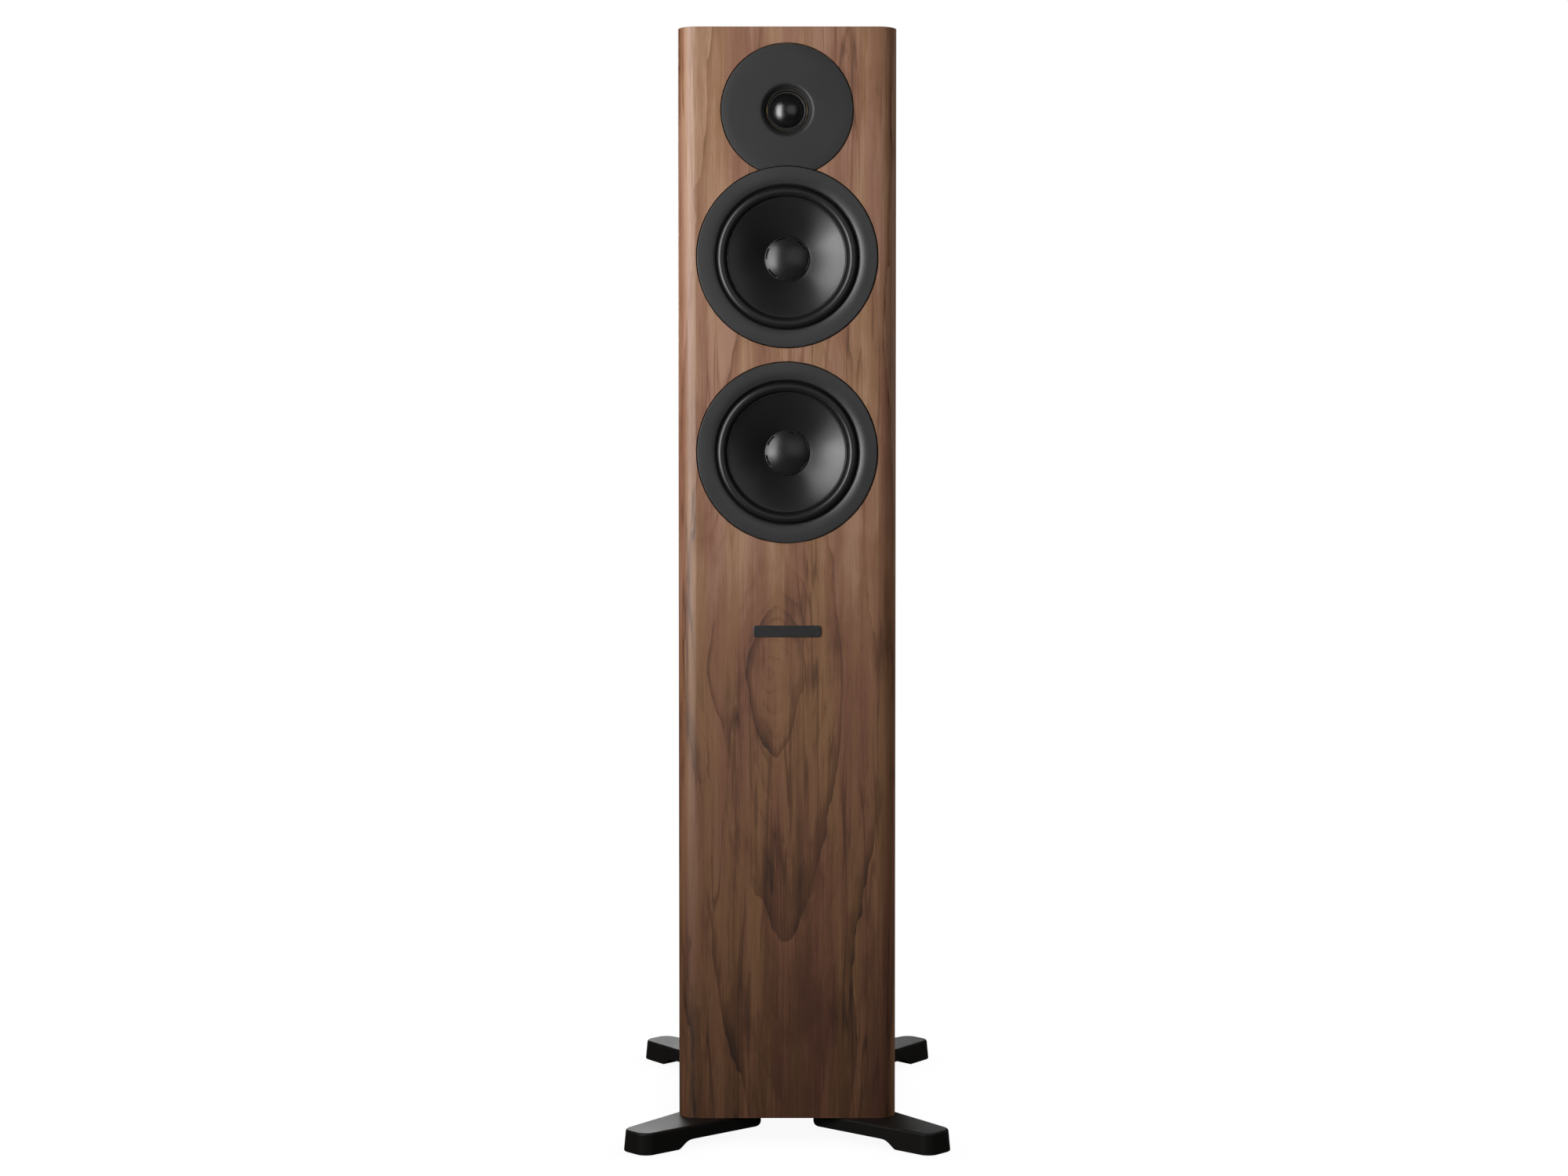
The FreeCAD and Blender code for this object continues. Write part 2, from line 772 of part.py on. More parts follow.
def woofer_dust_cap(z, first_angle):
    """Domed cap over the voice coil, with six narrow vents round its edge."""
    cap = dome_shell(cone_neck_radius, dust_cap_rise, cone_wall, cone_neck_depth, z)
    slot_inner = cap_slot_radius - cap_slot_width / 2
    slot_outer = cap_slot_radius + cap_slot_width / 2
    through = cone_neck_depth + 2 * overcut
    slot_face = flat_outline((slot_inner, 0), (slot_outer, 0), (slot_outer, through), (slot_inner, through))
    slot = slot_face.revolve(Vector(0, 0, 0), Vector(0, 1, 0), cap_slot_angle)
    slot.translate(Vector(0, front_y, z))
    return cap.cut(around_y(slot, cap_slot_count, z, first_angle))


def woofer_coil(z):
    """Voice coil: a tube from the neck of the cone, wound where it sits in the gap."""
    middle = basket_back + top_plate_thickness / 2
    winding_front = middle - winding_length / 2
    winding_back = middle + winding_length / 2
    return turned((former_inner_radius, cone_neck_depth + cone_wall + clearance),
                  (former_outer_radius, cone_neck_depth + cone_wall + clearance),
                  (former_outer_radius, winding_front), (winding_outer_radius, winding_front),
                  (winding_outer_radius, winding_back), (former_inner_radius, winding_back), z=z)


def woofer_spider(z):
    """Corrugated fabric disc that centres the voice coil."""
    first = former_outer_radius + clearance
    pitch = (spider_roll_end - first) / spider_roll_count
    height = spider_depth - spider_thickness
    front_arcs = []
    back_arcs = []
    for number in range(spider_roll_count):
        start = first + number * pitch
        swell = spider_roll_swell if number % 2 else -spider_roll_swell
        middle = start + pitch / 2
        front_arcs.append(((middle, height + swell), (start + pitch, height)))
        back_arcs.append(((middle, spider_depth + swell), (start, spider_depth)))
    return turned((first, height), *front_arcs, (spider_outer_radius, height),
                  (spider_outer_radius, spider_depth), (spider_roll_end, spider_depth),
                  *reversed(back_arcs), z=z)


def motor_ring(radius, bore, depth_from, depth_to, z):
    """Plain ring of a magnet motor, with softened outer edges."""
    edge = 0.6
    return turned((bore, depth_from), (radius - edge, depth_from), (radius, depth_from + edge),
                  (radius, depth_to - edge), (radius - edge, depth_to), (bore, depth_to), z=z)


def woofer_yoke(z):
    """Back plate and pole in one forging, vented through the middle."""
    plate_back = magnet_back + yoke_plate_thickness
    plate_radius = magnet_radius - yoke_step
    chamfer = 1.0
    vent_mouth = 4.0
    return turned((yoke_vent_radius, basket_back), (pole_radius, basket_back), (pole_radius, magnet_back),
                  (plate_radius, magnet_back), (plate_radius, plate_back - chamfer),
                  (plate_radius - chamfer, plate_back), (yoke_vent_radius + vent_mouth, plate_back),
                  (yoke_vent_radius, plate_back - vent_mouth), z=z)


def driver_top_plates():
    """Front pole plates of the two woofers and the tweeter."""
    back = basket_back + top_plate_thickness
    plates = [motor_ring(magnet_radius - yoke_step, gap_outer_radius, basket_back, back, z)
              for z in woofer_heights]
    plates.append(motor_ring(tweeter_magnet_radius, tweeter_gap_radius,
                             tweeter_motor_front, tweeter_plate_back, tweeter_z))
    return group(plates)


def woofer_magnets():
    front = basket_back + top_plate_thickness
    return group(motor_ring(magnet_radius, magnet_bore_radius, front, magnet_back, z)
                 for z in woofer_heights)


def panel_screw():
    """Countersunk wood screw along +Y, with its head at the origin."""
    recess_radius = 1.3
    recess = 1.2
    head_edge = 0.3
    head_depth = 1.9
    point_length = 3.0
    return turned((0, recess), (recess_radius, recess), (recess_radius, 0), (screw_head_radius, 0),
                  (screw_head_radius, head_edge), (screw_radius, head_depth),
                  (screw_radius, screw_length - point_length), (0, screw_length), y=0)


def panel_screws():
    """All the wood screws: six in each woofer, four in the tweeter, four in the back plate."""
    screws = []
    for z, circle, depth, count, first_angle in driver_screw_places():
        screw = panel_screw()
        screw.translate(Vector(circle, front_y + depth, z))
        screws += around_y(screw, count, z, first_angle)
    for x, z in terminal_screw_places():
        screw = panel_screw()
        screw.rotate(Vector(0, 0, 0), Vector(0, 0, 1), 180)
        screw.translate(Vector(x, plate_back_face, z))
        screws.append(screw)
    return group(screws)


# ---------------------------------------------------------------- tweeter


def tweeter_faceplate():
    """Flat plate with a short flared recess, cut away round the upper woofer."""
    edge = 0.3
    mouth = (waveguide_radius + 0.6, 0)
    flare_middle = (waveguide_throat + 2.6, 1.9)
    throat_length = 1.0
    plate = turned(mouth, (tweeter_plate_radius - edge, 0),
                   (tweeter_plate_radius, edge), (tweeter_plate_radius, tweeter_plate_thickness),
                   (hub_radius, tweeter_plate_thickness), (hub_radius, hub_depth),
                   (waveguide_throat, hub_depth), (waveguide_throat, hub_depth - throat_length),
                   (flare_middle, mouth), z=tweeter_z)
    bite = bar_y(woofer_rebate_radius + tweeter_bite_gap, front_y - 2 * overcut,
                 front_y + hub_depth + overcut, z=upper_woofer_z)
    return plate.cut(bite)


def tweeter_chassis():
    """Carrier screwed to the baffle, with the thin ring seen round the dome."""
    flange_back = tweeter_plate_thickness + tweeter_flange_thickness
    body_radius = tweeter_hole_radius - 0.4
    ring_front = hub_depth - 1.4
    ring_outer = waveguide_throat - 0.1
    hub_floor = hub_depth + 0.1
    hub_wall = hub_radius + 0.3
    seat_radius = tweeter_ring_radius - 1.0
    seat_depth = dome_rim_depth + 0.5
    body = turned((tweeter_ring_radius, ring_front), (ring_outer, ring_front),
                  (ring_outer, hub_floor), (hub_wall, hub_floor),
                  (hub_wall, tweeter_plate_thickness),
                  (tweeter_flange_radius, tweeter_plate_thickness),
                  (tweeter_flange_radius, flange_back), (body_radius, flange_back),
                  (body_radius, tweeter_motor_front), (seat_radius, tweeter_motor_front),
                  (seat_radius, seat_depth), (tweeter_ring_radius, seat_depth), z=tweeter_z)
    start = front_y + tweeter_plate_thickness - overcut
    screw = bar_y(screw_hole_radius, start, front_y + flange_back + overcut,
                  x=tweeter_screw_circle, z=tweeter_z)
    sink = bar_y(screw_head_radius + clearance, start, front_y + tweeter_plate_thickness + screw_sink_depth,
                 x=tweeter_screw_circle, z=tweeter_z)
    cuts = []
    for cutter in (screw, sink):
        cuts += around_y(cutter, tweeter_screw_count, tweeter_z, tweeter_screw_angle)
    return body.cut(cuts)


def tweeter_surround():
    """Narrow half roll between the dome and the chassis ring."""
    inner = dome_radius + 0.1
    outer = tweeter_ring_radius - 0.1
    middle = (inner + outer) / 2
    roll = (outer - inner) / 2
    foot = dome_rim_depth + 0.5
    front = foot - dome_wall
    return turned((inner, front), ((middle, front - roll), (outer, front)), (outer, foot),
                  (outer - dome_wall, foot), ((middle, foot - roll + dome_wall), (inner + dome_wall, foot)),
                  (inner, foot), z=tweeter_z)


def tweeter_dome():
    """Soft textile dome."""
    return dome_shell(dome_radius, dome_rise, dome_wall, dome_rim_depth, tweeter_z)


def tweeter_coil():
    """Small voice coil, fixed under the rim of the dome."""
    inner = 13.4
    former = 13.7
    winding = 14.3
    start = dome_rim_depth + clearance
    winding_front = tweeter_motor_front - 0.5
    winding_back = tweeter_plate_back + 0.5
    return turned((inner, start), (former, start), (former, winding_front), (winding, winding_front),
                  (winding, winding_back), (inner, winding_back), z=tweeter_z)


def tweeter_magnet():
    return motor_ring(tweeter_magnet_radius, tweeter_magnet_bore, tweeter_plate_back,
                      tweeter_magnet_back, tweeter_z)


def tweeter_yoke():
    """Back plate and pole, drilled through to the rear chamber."""
    vent = 4.0
    plate_radius = tweeter_magnet_radius - 1
    plate_back = tweeter_magnet_back + tweeter_yoke_thickness
    return turned((vent, tweeter_motor_front), (tweeter_pole_radius, tweeter_motor_front),
                  (tweeter_pole_radius, tweeter_magnet_back), (plate_radius, tweeter_magnet_back),
                  (plate_radius, plate_back), (vent, plate_back), z=tweeter_z)


def tweeter_rear_chamber():
    """Cup behind the tweeter motor."""
    start = tweeter_magnet_back + tweeter_yoke_thickness
    end = start + tweeter_chamber_length
    wall = 2.0
    corner = 3.0
    bulge = corner * (1 - math.sqrt(0.5))
    radius = tweeter_chamber_radius
    return turned((radius - wall, start), (radius, start), (radius, end - corner),
                  ((radius - bulge, end - bulge), (radius - corner, end)), (0, end), (0, end - wall),
                  (radius - wall, end - wall), z=tweeter_z)


# ---------------------------------------------------------------- back of the cabinet


def port_tube():
    """Reflex port: a tube with a wide flare on the rear panel and a small one inside."""
    bore = port_bore_radius
    outer = bore + port_wall
    end = -port_length
    flare_run = port_flare_radius - bore
    flare_height = port_flare_depth + port_flange_thickness
    flare_arc = (flare_run ** 2 + flare_height ** 2) / (2 * flare_run)
    flare_turn = math.asin(flare_height / flare_arc)
    outer_arc = flare_arc - port_wall
    outer_turn = math.asin(port_flare_depth / outer_arc)
    bell_radius = bore + 7
    bell_start = end + 8
    bell_middle = (bore + 2.2, end + 2.3)
    bell_back_middle = (outer + 1.2, end + 5)
    bell_back_start = end + 12

    def on_flare(arc, turn):
        return (bore + flare_arc - arc * math.cos(turn), arc * math.sin(turn) - port_flare_depth)

    return turned((bore, bell_start), (bell_middle, (bell_radius, end)), (bell_radius, end + port_wall),
                  (bell_back_middle, (outer, bell_back_start)), (outer, -port_flare_depth),
                  (on_flare(outer_arc, outer_turn / 2), on_flare(outer_arc, outer_turn)),
                  (port_flange_radius, 0), (port_flange_radius, port_flange_edge),
                  (port_flare_radius, port_flange_thickness),
                  (on_flare(flare_arc, flare_turn / 2), (bore, -port_flare_depth)),
                  y=back_y, z=port_z)


def terminal_plate():
    """Moulded plate with a raised insulating collar round each binding post."""
    half_width = terminal_width / 2
    half_height = terminal_height / 2
    plate = block(-half_width, half_width, back_y, plate_back_face,
                  terminal_z - half_height, terminal_z + half_height)
    corners = [edge for edge in plate.Edges if abs(edge.BoundBox.YLength - terminal_thickness) < tiny]
    plate = plate.makeFillet(terminal_corner, corners)
    rim = [edge for edge in plate.Edges if edge.BoundBox.YMin > plate_back_face - tiny]
    plate = plate.makeFillet(terminal_edge, rim)
    collar_end = plate_back_face + collar_height
    holes = []
    for side in (-1, 1):
        x = side * post_spacing / 2
        plate = plate.fuse(bar_y(collar_radius, plate_back_face - overcut, collar_end, x=x, z=terminal_z))
        holes.append(bar_y(post_radius + clearance, back_y - overcut, collar_end + overcut,
                           x=x, z=terminal_z))
    for x, z in terminal_screw_places():
        holes.append(bar_y(screw_hole_radius, back_y - overcut, plate_back_face + overcut, x=x, z=z))
        holes.append(bar_y(screw_head_radius + clearance, plate_back_face - screw_sink_depth,
                           plate_back_face + overcut, x=x, z=z))
    return plate.cut(holes).removeSplitter()


def binding_posts():
    """Two metal posts, each with a blind bore for a 4 mm plug and a nut behind the plate."""
    posts = []
    for side in (-1, 1):
        x = side * post_spacing / 2
        end = plate_back_face + post_length
        post = bar_y(post_radius, back_y - post_tail, end, x=x, z=terminal_z)
        bore = bar_y(plug_bore_radius, end - plug_bore_depth, end + overcut, x=x, z=terminal_z)
        nut = bar_y(post_nut_radius, back_y - post_nut_height, back_y, x=x, z=terminal_z)
        posts.append(post.fuse(nut).cut(bore).removeSplitter())
    return group(posts)


def clamp_washer(side):
    start = collar_height
    end = start + washer_thickness
    bore = post_radius + clearance
    return turned((bore, start), (washer_radius, start), (washer_radius, end), (bore, end),
                  x=side * post_spacing / 2, y=plate_back_face, z=terminal_z)


def post_knob(side):
    """Fluted nut that clamps a wire, open at its end for a plug."""
    x = side * post_spacing / 2
    start = collar_height + washer_thickness
    end = start + knob_length
    foot_chamfer = 1.0
    edge = 1.2
    edge_bulge = edge * (1 - math.sqrt(0.5))
    mouth_chamfer = 0.8
    mouth_depth = 1.6
    mouth = end - mouth_depth
    knob = turned((knob_bore_radius, start), (knob_radius - foot_chamfer, start),
                  (knob_radius, start + foot_chamfer), (knob_radius, end - edge),
                  ((knob_radius - edge_bulge, end - edge_bulge), (knob_radius - edge, end)),
                  (knob_mouth_radius + mouth_chamfer, end), (knob_mouth_radius, end - mouth_chamfer),
                  (knob_mouth_radius, mouth), (knob_bore_radius, mouth),
                  x=x, y=plate_back_face, z=terminal_z)
    flute_from = plate_back_face + start + knob_flute_margin
    flute_to = plate_back_face + end - knob_flute_margin
    flutes = []
    for number in range(knob_flutes):
        angle = number * 2 * math.pi / knob_flutes
        flute_x = x + knob_radius * math.cos(angle)
        flute_z = terminal_z + knob_radius * math.sin(angle)
        flutes.append(bar_y(knob_flute_radius, flute_from, flute_to, x=flute_x, z=flute_z))
    return knob.cut(flutes)


# ---------------------------------------------------------------- crossover and wiring


def crossover_board():
    return block(-board_width / 2, board_width / 2, -board_length / 2, board_length / 2,
                 floor_of_box, board_top)


def crossover_inductors():
    """Three air-cored coils, two standing upright and one lying on its side."""
    coils = []
    for x, y, radius, height in upright_coils:
        coil = bar_z(radius, board_top, board_top + height, x, y)
        coils.append(coil.cut(bar_z(radius * coil_bore_share, 0, 2 * board_top + height, x, y)))
    x, y, radius, length = lying_coil
    z = board_top + radius
    coil = bar_y(radius, y, y + length, x=x, z=z)
    bore = bar_y(radius * coil_bore_share, y - overcut, y + length + overcut, x=x, z=z)
    coils.append(coil.cut(bore))
    return group(coils)


def crossover_capacitors():
    """Four round film capacitors lying side by side."""
    cans = []
    for number, radius in enumerate(capacitor_radii):
        x = capacitor_first_x + number * capacitor_pitch
        front = capacitor_front - number * capacitor_stagger
        can = bar_y(radius, front, capacitor_back, x=x, z=board_top + radius)
        ends = [edge for edge in can.Edges if len(edge.Vertexes) == 1]
        cans.append(can.makeFillet(capacitor_edge, ends))
    return group(cans)


def crossover_resistors():
    """Three square ceramic resistors."""
    bodies = []
    for number in range(resistor_count):
        y = resistor_first_y + number * resistor_pitch
        body = block(resistor_x, resistor_x + resistor_length, y, y + resistor_side,
                     board_top, board_top + resistor_side)
        bodies.append(body.makeFillet(resistor_edge, body.Edges))
    return group(bodies)


def driver_cable(x_board, x, y_end, z_end):
    """Cable from the board, up through the windows, forward to the back of a driver."""
    return cable((x_board, 5, board_top + cable_radius + 0.5), (x_board, 3, floor_of_box + 41.5),
                 (x, 0, cable_rise_start), (x, 0, cable_rise_end), (x, -4, z_end - 180),
                 (x, -8, z_end - 90), (x, y_end, z_end))


def internal_wiring():
    """Cable to each driver, and one from the board to each binding post."""
    cables = [
        driver_cable(-16, -34, front_y + woofer_tag_depth, lower_woofer_z + woofer_tag_rise),
        driver_cable(-10, 0, front_y + woofer_tag_depth, upper_woofer_z + woofer_tag_rise),
        driver_cable(-4, 34, front_y + tweeter_tag_depth, tweeter_z),
    ]
    for side in (-1, 1):
        x = side * post_spacing / 2
        cables.append(cable((x, back_y - post_tail - 2, terminal_z), (x, back_y - 45, terminal_z - 12),
                            (x + 6, 82, board_top + 12)))
    return group(cables)


# ---------------------------------------------------------------- writing the pieces


def all_pieces():
    pieces = {
        "front_baffle": front_baffle(),
        "left_side_panel": side_panel(-1),
        "right_side_panel": side_panel(1),
        "rear_panel": rear_panel(),
        "top_panel": top_panel(),
        "bottom_panel": bottom_panel(),
        "veneer_skins": veneer_skins(),
        "window_braces": window_braces(),
        "acoustic_wadding": acoustic_wadding(),
        "front_badge": front_badge(),
        "port_tube": port_tube(),
        "terminal_plate": terminal_plate(),
        "binding_posts": binding_posts(),
        "panel_screws": panel_screws(),
        "crossover_board": crossover_board(),
        "crossover_inductors": crossover_inductors(),
        "crossover_capacitors": crossover_capacitors(),
        "crossover_resistors": crossover_resistors(),
        "internal_wiring": internal_wiring(),
        "tweeter_faceplate": tweeter_faceplate(),
        "tweeter_chassis": tweeter_chassis(),
        "tweeter_surround": tweeter_surround(),
        "tweeter_dome": tweeter_dome(),
        "tweeter_coil": tweeter_coil(),
        "tweeter_magnet": tweeter_magnet(),
        "tweeter_yoke": tweeter_yoke(),
        "tweeter_rear_chamber": tweeter_rear_chamber(),
        "driver_top_plates": driver_top_plates(),
        "woofer_magnets": woofer_magnets(),
        "woofer_yokes": group(woofer_yoke(z) for z in woofer_heights),
        "woofer_trim_rings": group(woofer_trim_ring(z) for z in woofer_heights),
        "foot_bolts": foot_bolts(),
    }
    for name, z, slot_turn in (("upper", upper_woofer_z, 0.0), ("lower", lower_woofer_z, 22.0)):
        pieces[name + "_woofer_basket"] = woofer_basket(z)
        pieces[name + "_woofer_surround"] = woofer_surround(z)
        pieces[name + "_woofer_spider"] = woofer_spider(z)
        pieces[name + "_woofer_cone"] = woofer_cone(z)
        pieces[name + "_woofer_dust_cap"] = woofer_dust_cap(z, slot_turn)
        pieces[name + "_woofer_coil"] = woofer_coil(z)
    foot, pad, stud = cast_foot(), levelling_pad(), levelling_stud()
    for front in (True, False):
        for right in (True, False):
            corner = ("front" if front else "rear") + ("_right" if right else "_left")
            pieces[corner + "_foot"] = placed_foot(foot, right, front)
            pieces[corner + "_levelling_pad"] = placed_foot(pad, right, front)
            pieces[corner + "_levelling_stud"] = placed_foot(stud, right, front)
    for colour, side in (("red", -1), ("black", 1)):
        pieces[colour + "_clamp_washer"] = clamp_washer(side)
        pieces[colour + "_post_knob"] = post_knob(side)
    return pieces


os.makedirs("parts", exist_ok=True)
for name, shape in all_pieces().items():
    shape.exportStep("parts/" + name + ".step")
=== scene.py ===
import json
import math

import bmesh
import bpy
import numpy as np
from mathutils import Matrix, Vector, noise


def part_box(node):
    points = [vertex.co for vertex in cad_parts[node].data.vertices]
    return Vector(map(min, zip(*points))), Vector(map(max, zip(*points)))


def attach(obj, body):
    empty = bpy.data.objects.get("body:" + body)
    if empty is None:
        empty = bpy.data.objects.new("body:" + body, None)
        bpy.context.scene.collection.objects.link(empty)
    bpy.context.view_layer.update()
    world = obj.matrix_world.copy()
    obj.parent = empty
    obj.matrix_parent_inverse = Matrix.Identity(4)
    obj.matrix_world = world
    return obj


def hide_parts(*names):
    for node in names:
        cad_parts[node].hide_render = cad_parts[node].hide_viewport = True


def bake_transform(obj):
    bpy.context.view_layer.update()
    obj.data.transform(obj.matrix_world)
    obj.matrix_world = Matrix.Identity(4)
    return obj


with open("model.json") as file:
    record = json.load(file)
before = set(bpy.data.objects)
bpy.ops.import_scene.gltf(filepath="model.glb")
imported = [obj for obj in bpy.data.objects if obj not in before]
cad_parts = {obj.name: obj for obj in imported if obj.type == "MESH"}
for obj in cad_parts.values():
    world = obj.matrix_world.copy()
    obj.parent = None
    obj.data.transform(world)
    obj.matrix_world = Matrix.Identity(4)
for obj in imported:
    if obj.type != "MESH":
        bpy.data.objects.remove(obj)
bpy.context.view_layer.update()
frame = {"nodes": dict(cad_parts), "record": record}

# ---------------------------------------------------------------- places taken from the frame

MM = 0.001
ON_AXIS = 1e-6  # a smaller radius counts as a point on the axis
JOINT = 0.7 * MM  # dark gap left round the tweeter's face plate and the woofers' trim rings
SPIDER_RIM = 4.5 * MM  # flat outer rim of a spider
skin_low, skin_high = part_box("veneer_skins")
front_y = skin_low.y
back_y = skin_high.y
cabinet_bottom = skin_low.z
cabinet_top = skin_high.z
half_width = skin_high.x


def centre_of(node):
    """Middle of a node's box."""
    low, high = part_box(node)
    return (low + high) / 2


def radius_of(node):
    """Outer radius of a round node that faces the front."""
    low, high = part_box(node)
    return (high.x - low.x) / 2


def depths_of(node):
    """Front and back of a node, as depths behind the front of the cabinet."""
    low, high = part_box(node)
    return low.y - front_y, high.y - front_y


# ---------------------------------------------------------------- mesh building


def mesh_object(name, vertices, faces, sharp_angle=35):
    """A smooth-shaded mesh object whose creases above an angle stay sharp."""
    mesh = bpy.data.meshes.new(name)
    mesh.from_pydata([tuple(v) for v in vertices], [], faces)
    mesh.validate()
    work = bmesh.new()
    work.from_mesh(mesh)
    bmesh.ops.recalc_face_normals(work, faces=work.faces)
    work.to_mesh(mesh)
    work.free()
    mesh.shade_smooth()
    mesh.set_sharp_from_angle(angle=math.radians(sharp_angle))
    piece = bpy.data.objects.new(name, mesh)
    bpy.context.scene.collection.objects.link(piece)
    return piece


def arc(centre, radius, start, end, steps):
    """Points (radius, depth) of a circular arc in a section; angles in degrees from the +radius axis."""
    points = []
    for number in range(steps + 1):
        angle = math.radians(start + (end - start) * number / steps)
        points.append((centre[0] + radius * math.cos(angle),
                       centre[1] + radius * math.sin(angle)))
    return points


def bezier(p0, p1, p2, p3, steps):
    """Points of a cubic curve in a section."""
    points = []
    for number in range(steps + 1):
        t = number / steps
        a, b, c, d = (1 - t) ** 3, 3 * t * (1 - t) ** 2, 3 * t * t * (1 - t), t ** 3
        points.append((a * p0[0] + b * p1[0] + c * p2[0] + d * p3[0],
                       a * p0[1] + b * p1[1] + c * p2[1] + d * p3[1]))
    return points


def lathe(name, section, x, z, segments, closed=True, sharp_angle=35):
    """Turned piece about a front-to-back axis at (x, z), from a section of (radius, depth) points.

    A closed section makes a ring. An open one starts and ends on the axis or on an open edge.
    """
    vertices = []
    rows = []
    for radius, depth in section:
        if radius < ON_AXIS:
            rows.append([len(vertices)])
            vertices.append((x, front_y + depth, z))
            continue
        rows.append(list(range(len(vertices), len(vertices) + segments)))
        for number in range(segments):
            angle = 2 * math.pi * number / segments
            vertices.append((x + radius * math.cos(angle), front_y + depth,
                             z + radius * math.sin(angle)))
    faces = []
    pairs = list(zip(rows, rows[1:]))
    if closed:
        pairs.append((rows[-1], rows[0]))
    for first, second in pairs:
        for number in range(segments):
            after = (number + 1) % segments
            corners = [first[number % len(first)], first[after % len(first)],
                       second[after % len(second)], second[number % len(second)]]
            corners = list(dict.fromkeys(corners))
            if len(corners) > 2:
                faces.append(corners)
    return mesh_object(name, vertices, faces, sharp_angle)


# ---------------------------------------------------------------- material building


def opaque(colour):
    """A colour with full alpha; a socket stays as it is."""
    return colour if isinstance(colour, bpy.types.NodeSocket) else (*colour, 1.0)


class Shader:
    """Builds one node material; most methods add a node and return its output socket."""

    def __init__(self, name):
        self.material = bpy.data.materials.new(name)
        self.material.use_nodes = True
        self.tree = self.material.node_tree
        self.tree.nodes.clear()
        coordinates = self.node("TexCoord")
        self.place = self.vector("SCALE", coordinates.outputs["Object"], scale=1 / MM)
        self.x, self.y, self.z = self.split(self.place)

    def node(self, kind, **settings):
        new = self.tree.nodes.new("ShaderNode" + kind)
        for key, value in settings.items():
            setattr(new, key, value)
        return new

    def feed(self, socket, value):
        if isinstance(value, bpy.types.NodeSocket):
            self.tree.links.new(value, socket)
        else:
            socket.default_value = value

    def math(self, operation, a, b=0.0, c=0.0):
        new = self.node("Math", operation=operation)
        for socket, value in zip(new.inputs, (a, b, c)):
            self.feed(socket, value)
        return new.outputs[0]

    def vector(self, operation, a, b=None, scale=None):
        new = self.node("VectorMath", operation=operation)
        self.feed(new.inputs[0], a)
        if b is not None:
            self.feed(new.inputs[1], b)
        if scale is not None:
            self.feed(new.inputs["Scale"], scale)
        return new.outputs["Vector"]

    def split(self, vector):
        new = self.node("SeparateXYZ")
        self.feed(new.inputs[0], vector)
        return tuple(new.outputs)

    def join(self, x=0.0, y=0.0, z=0.0):
        new = self.node("CombineXYZ")
        for socket, value in zip(new.inputs, (x, y, z)):
            self.feed(socket, value)
        return new.outputs[0]

    def stretched(self, x_scale, y_scale, z_scale):
        """The place in millimetres, scaled along each axis."""
        return self.vector("MULTIPLY", self.place, (x_scale, y_scale, z_scale))

    def noise(self, vector, scale=1.0, detail=2.0, roughness=0.5, distortion=0.0):
        new = self.node("TexNoise")
        self.feed(new.inputs["Vector"], vector)
        for key, value in (("Scale", scale), ("Detail", detail), ("Roughness", roughness),
                           ("Distortion", distortion)):
            self.feed(new.inputs[key], value)
        return new.outputs["Fac"]

    def cells(self, vector, scale=1.0, feature="F1"):
        new = self.node("TexVoronoi", feature=feature)
        self.feed(new.inputs["Vector"], vector)
        self.feed(new.inputs["Scale"], scale)
        return new.outputs["Distance"]

    def remap(self, value, low, high, to_low=0.0, to_high=1.0, smooth=False):
        new = self.node("MapRange", interpolation_type="SMOOTHSTEP" if smooth else "LINEAR")
        for socket, number in zip(new.inputs, (value, low, high, to_low, to_high)):
            self.feed(socket, number)
        return new.outputs[0]

    def spread(self, layer, low, high):
        """Stretches a layer of noise, which lies mostly between 0.3 and 0.7, to run from low to high."""
        return self.remap(layer, 0.3, 0.7, low, high)

    def ramp(self, factor, stops):
        """Colours at positions along a scale, with eased steps between them."""
        new = self.node("ValToRGB")
        self.feed(new.inputs[0], factor)
        ramp = new.color_ramp
        ramp.interpolation = "EASE"
        while len(ramp.elements) < len(stops):
            ramp.elements.new(1.0)
        for element, (position, colour) in zip(ramp.elements, stops):
            element.position = position
            element.color = opaque(colour)
        return new.outputs["Color"]

    def mix(self, factor, a, b, blend_type="MIX"):
        """Mixes two colours. The node's colour sockets are its inputs 6 and 7 and its output 2."""
        new = self.node("Mix", data_type="RGBA", blend_type=blend_type)
        self.feed(new.inputs[0], factor)
        self.feed(new.inputs[6], opaque(a))
        self.feed(new.inputs[7], opaque(b))
        return new.outputs[2]

    def tint(self, colour, amount):
        """A colour made lighter or darker by a factor socket."""
        return self.mix(1.0, colour, self.join(amount, amount, amount), "MULTIPLY")

    def bump(self, height, distance, strength=1.0):
        """Surface relief: height 0 to 1 stands for distance in millimetres."""
        new = self.node("Bump")
        self.feed(new.inputs["Strength"], strength)
        self.feed(new.inputs["Distance"], distance * MM)
        self.feed(new.inputs["Height"], height)
        return new.outputs["Normal"]

    def surface(self, **values):
        """Ends the material in a Principled surface. Keys are input names with _ for spaces."""
        shader = self.node("BsdfPrincipled")
        for key, value in values.items():
            socket = shader.inputs[key.replace("_", " ")]
            self.feed(socket, opaque(value) if socket.type == "RGBA" else value)
        output = self.node("OutputMaterial")
        self.feed(output.inputs["Surface"], shader.outputs[0])
        return self.material


def dress(piece, material):
    """Gives a piece one material in every slot."""
    piece.data.materials.clear()
    piece.data.materials.append(material)


# ---------------------------------------------------------------- materials


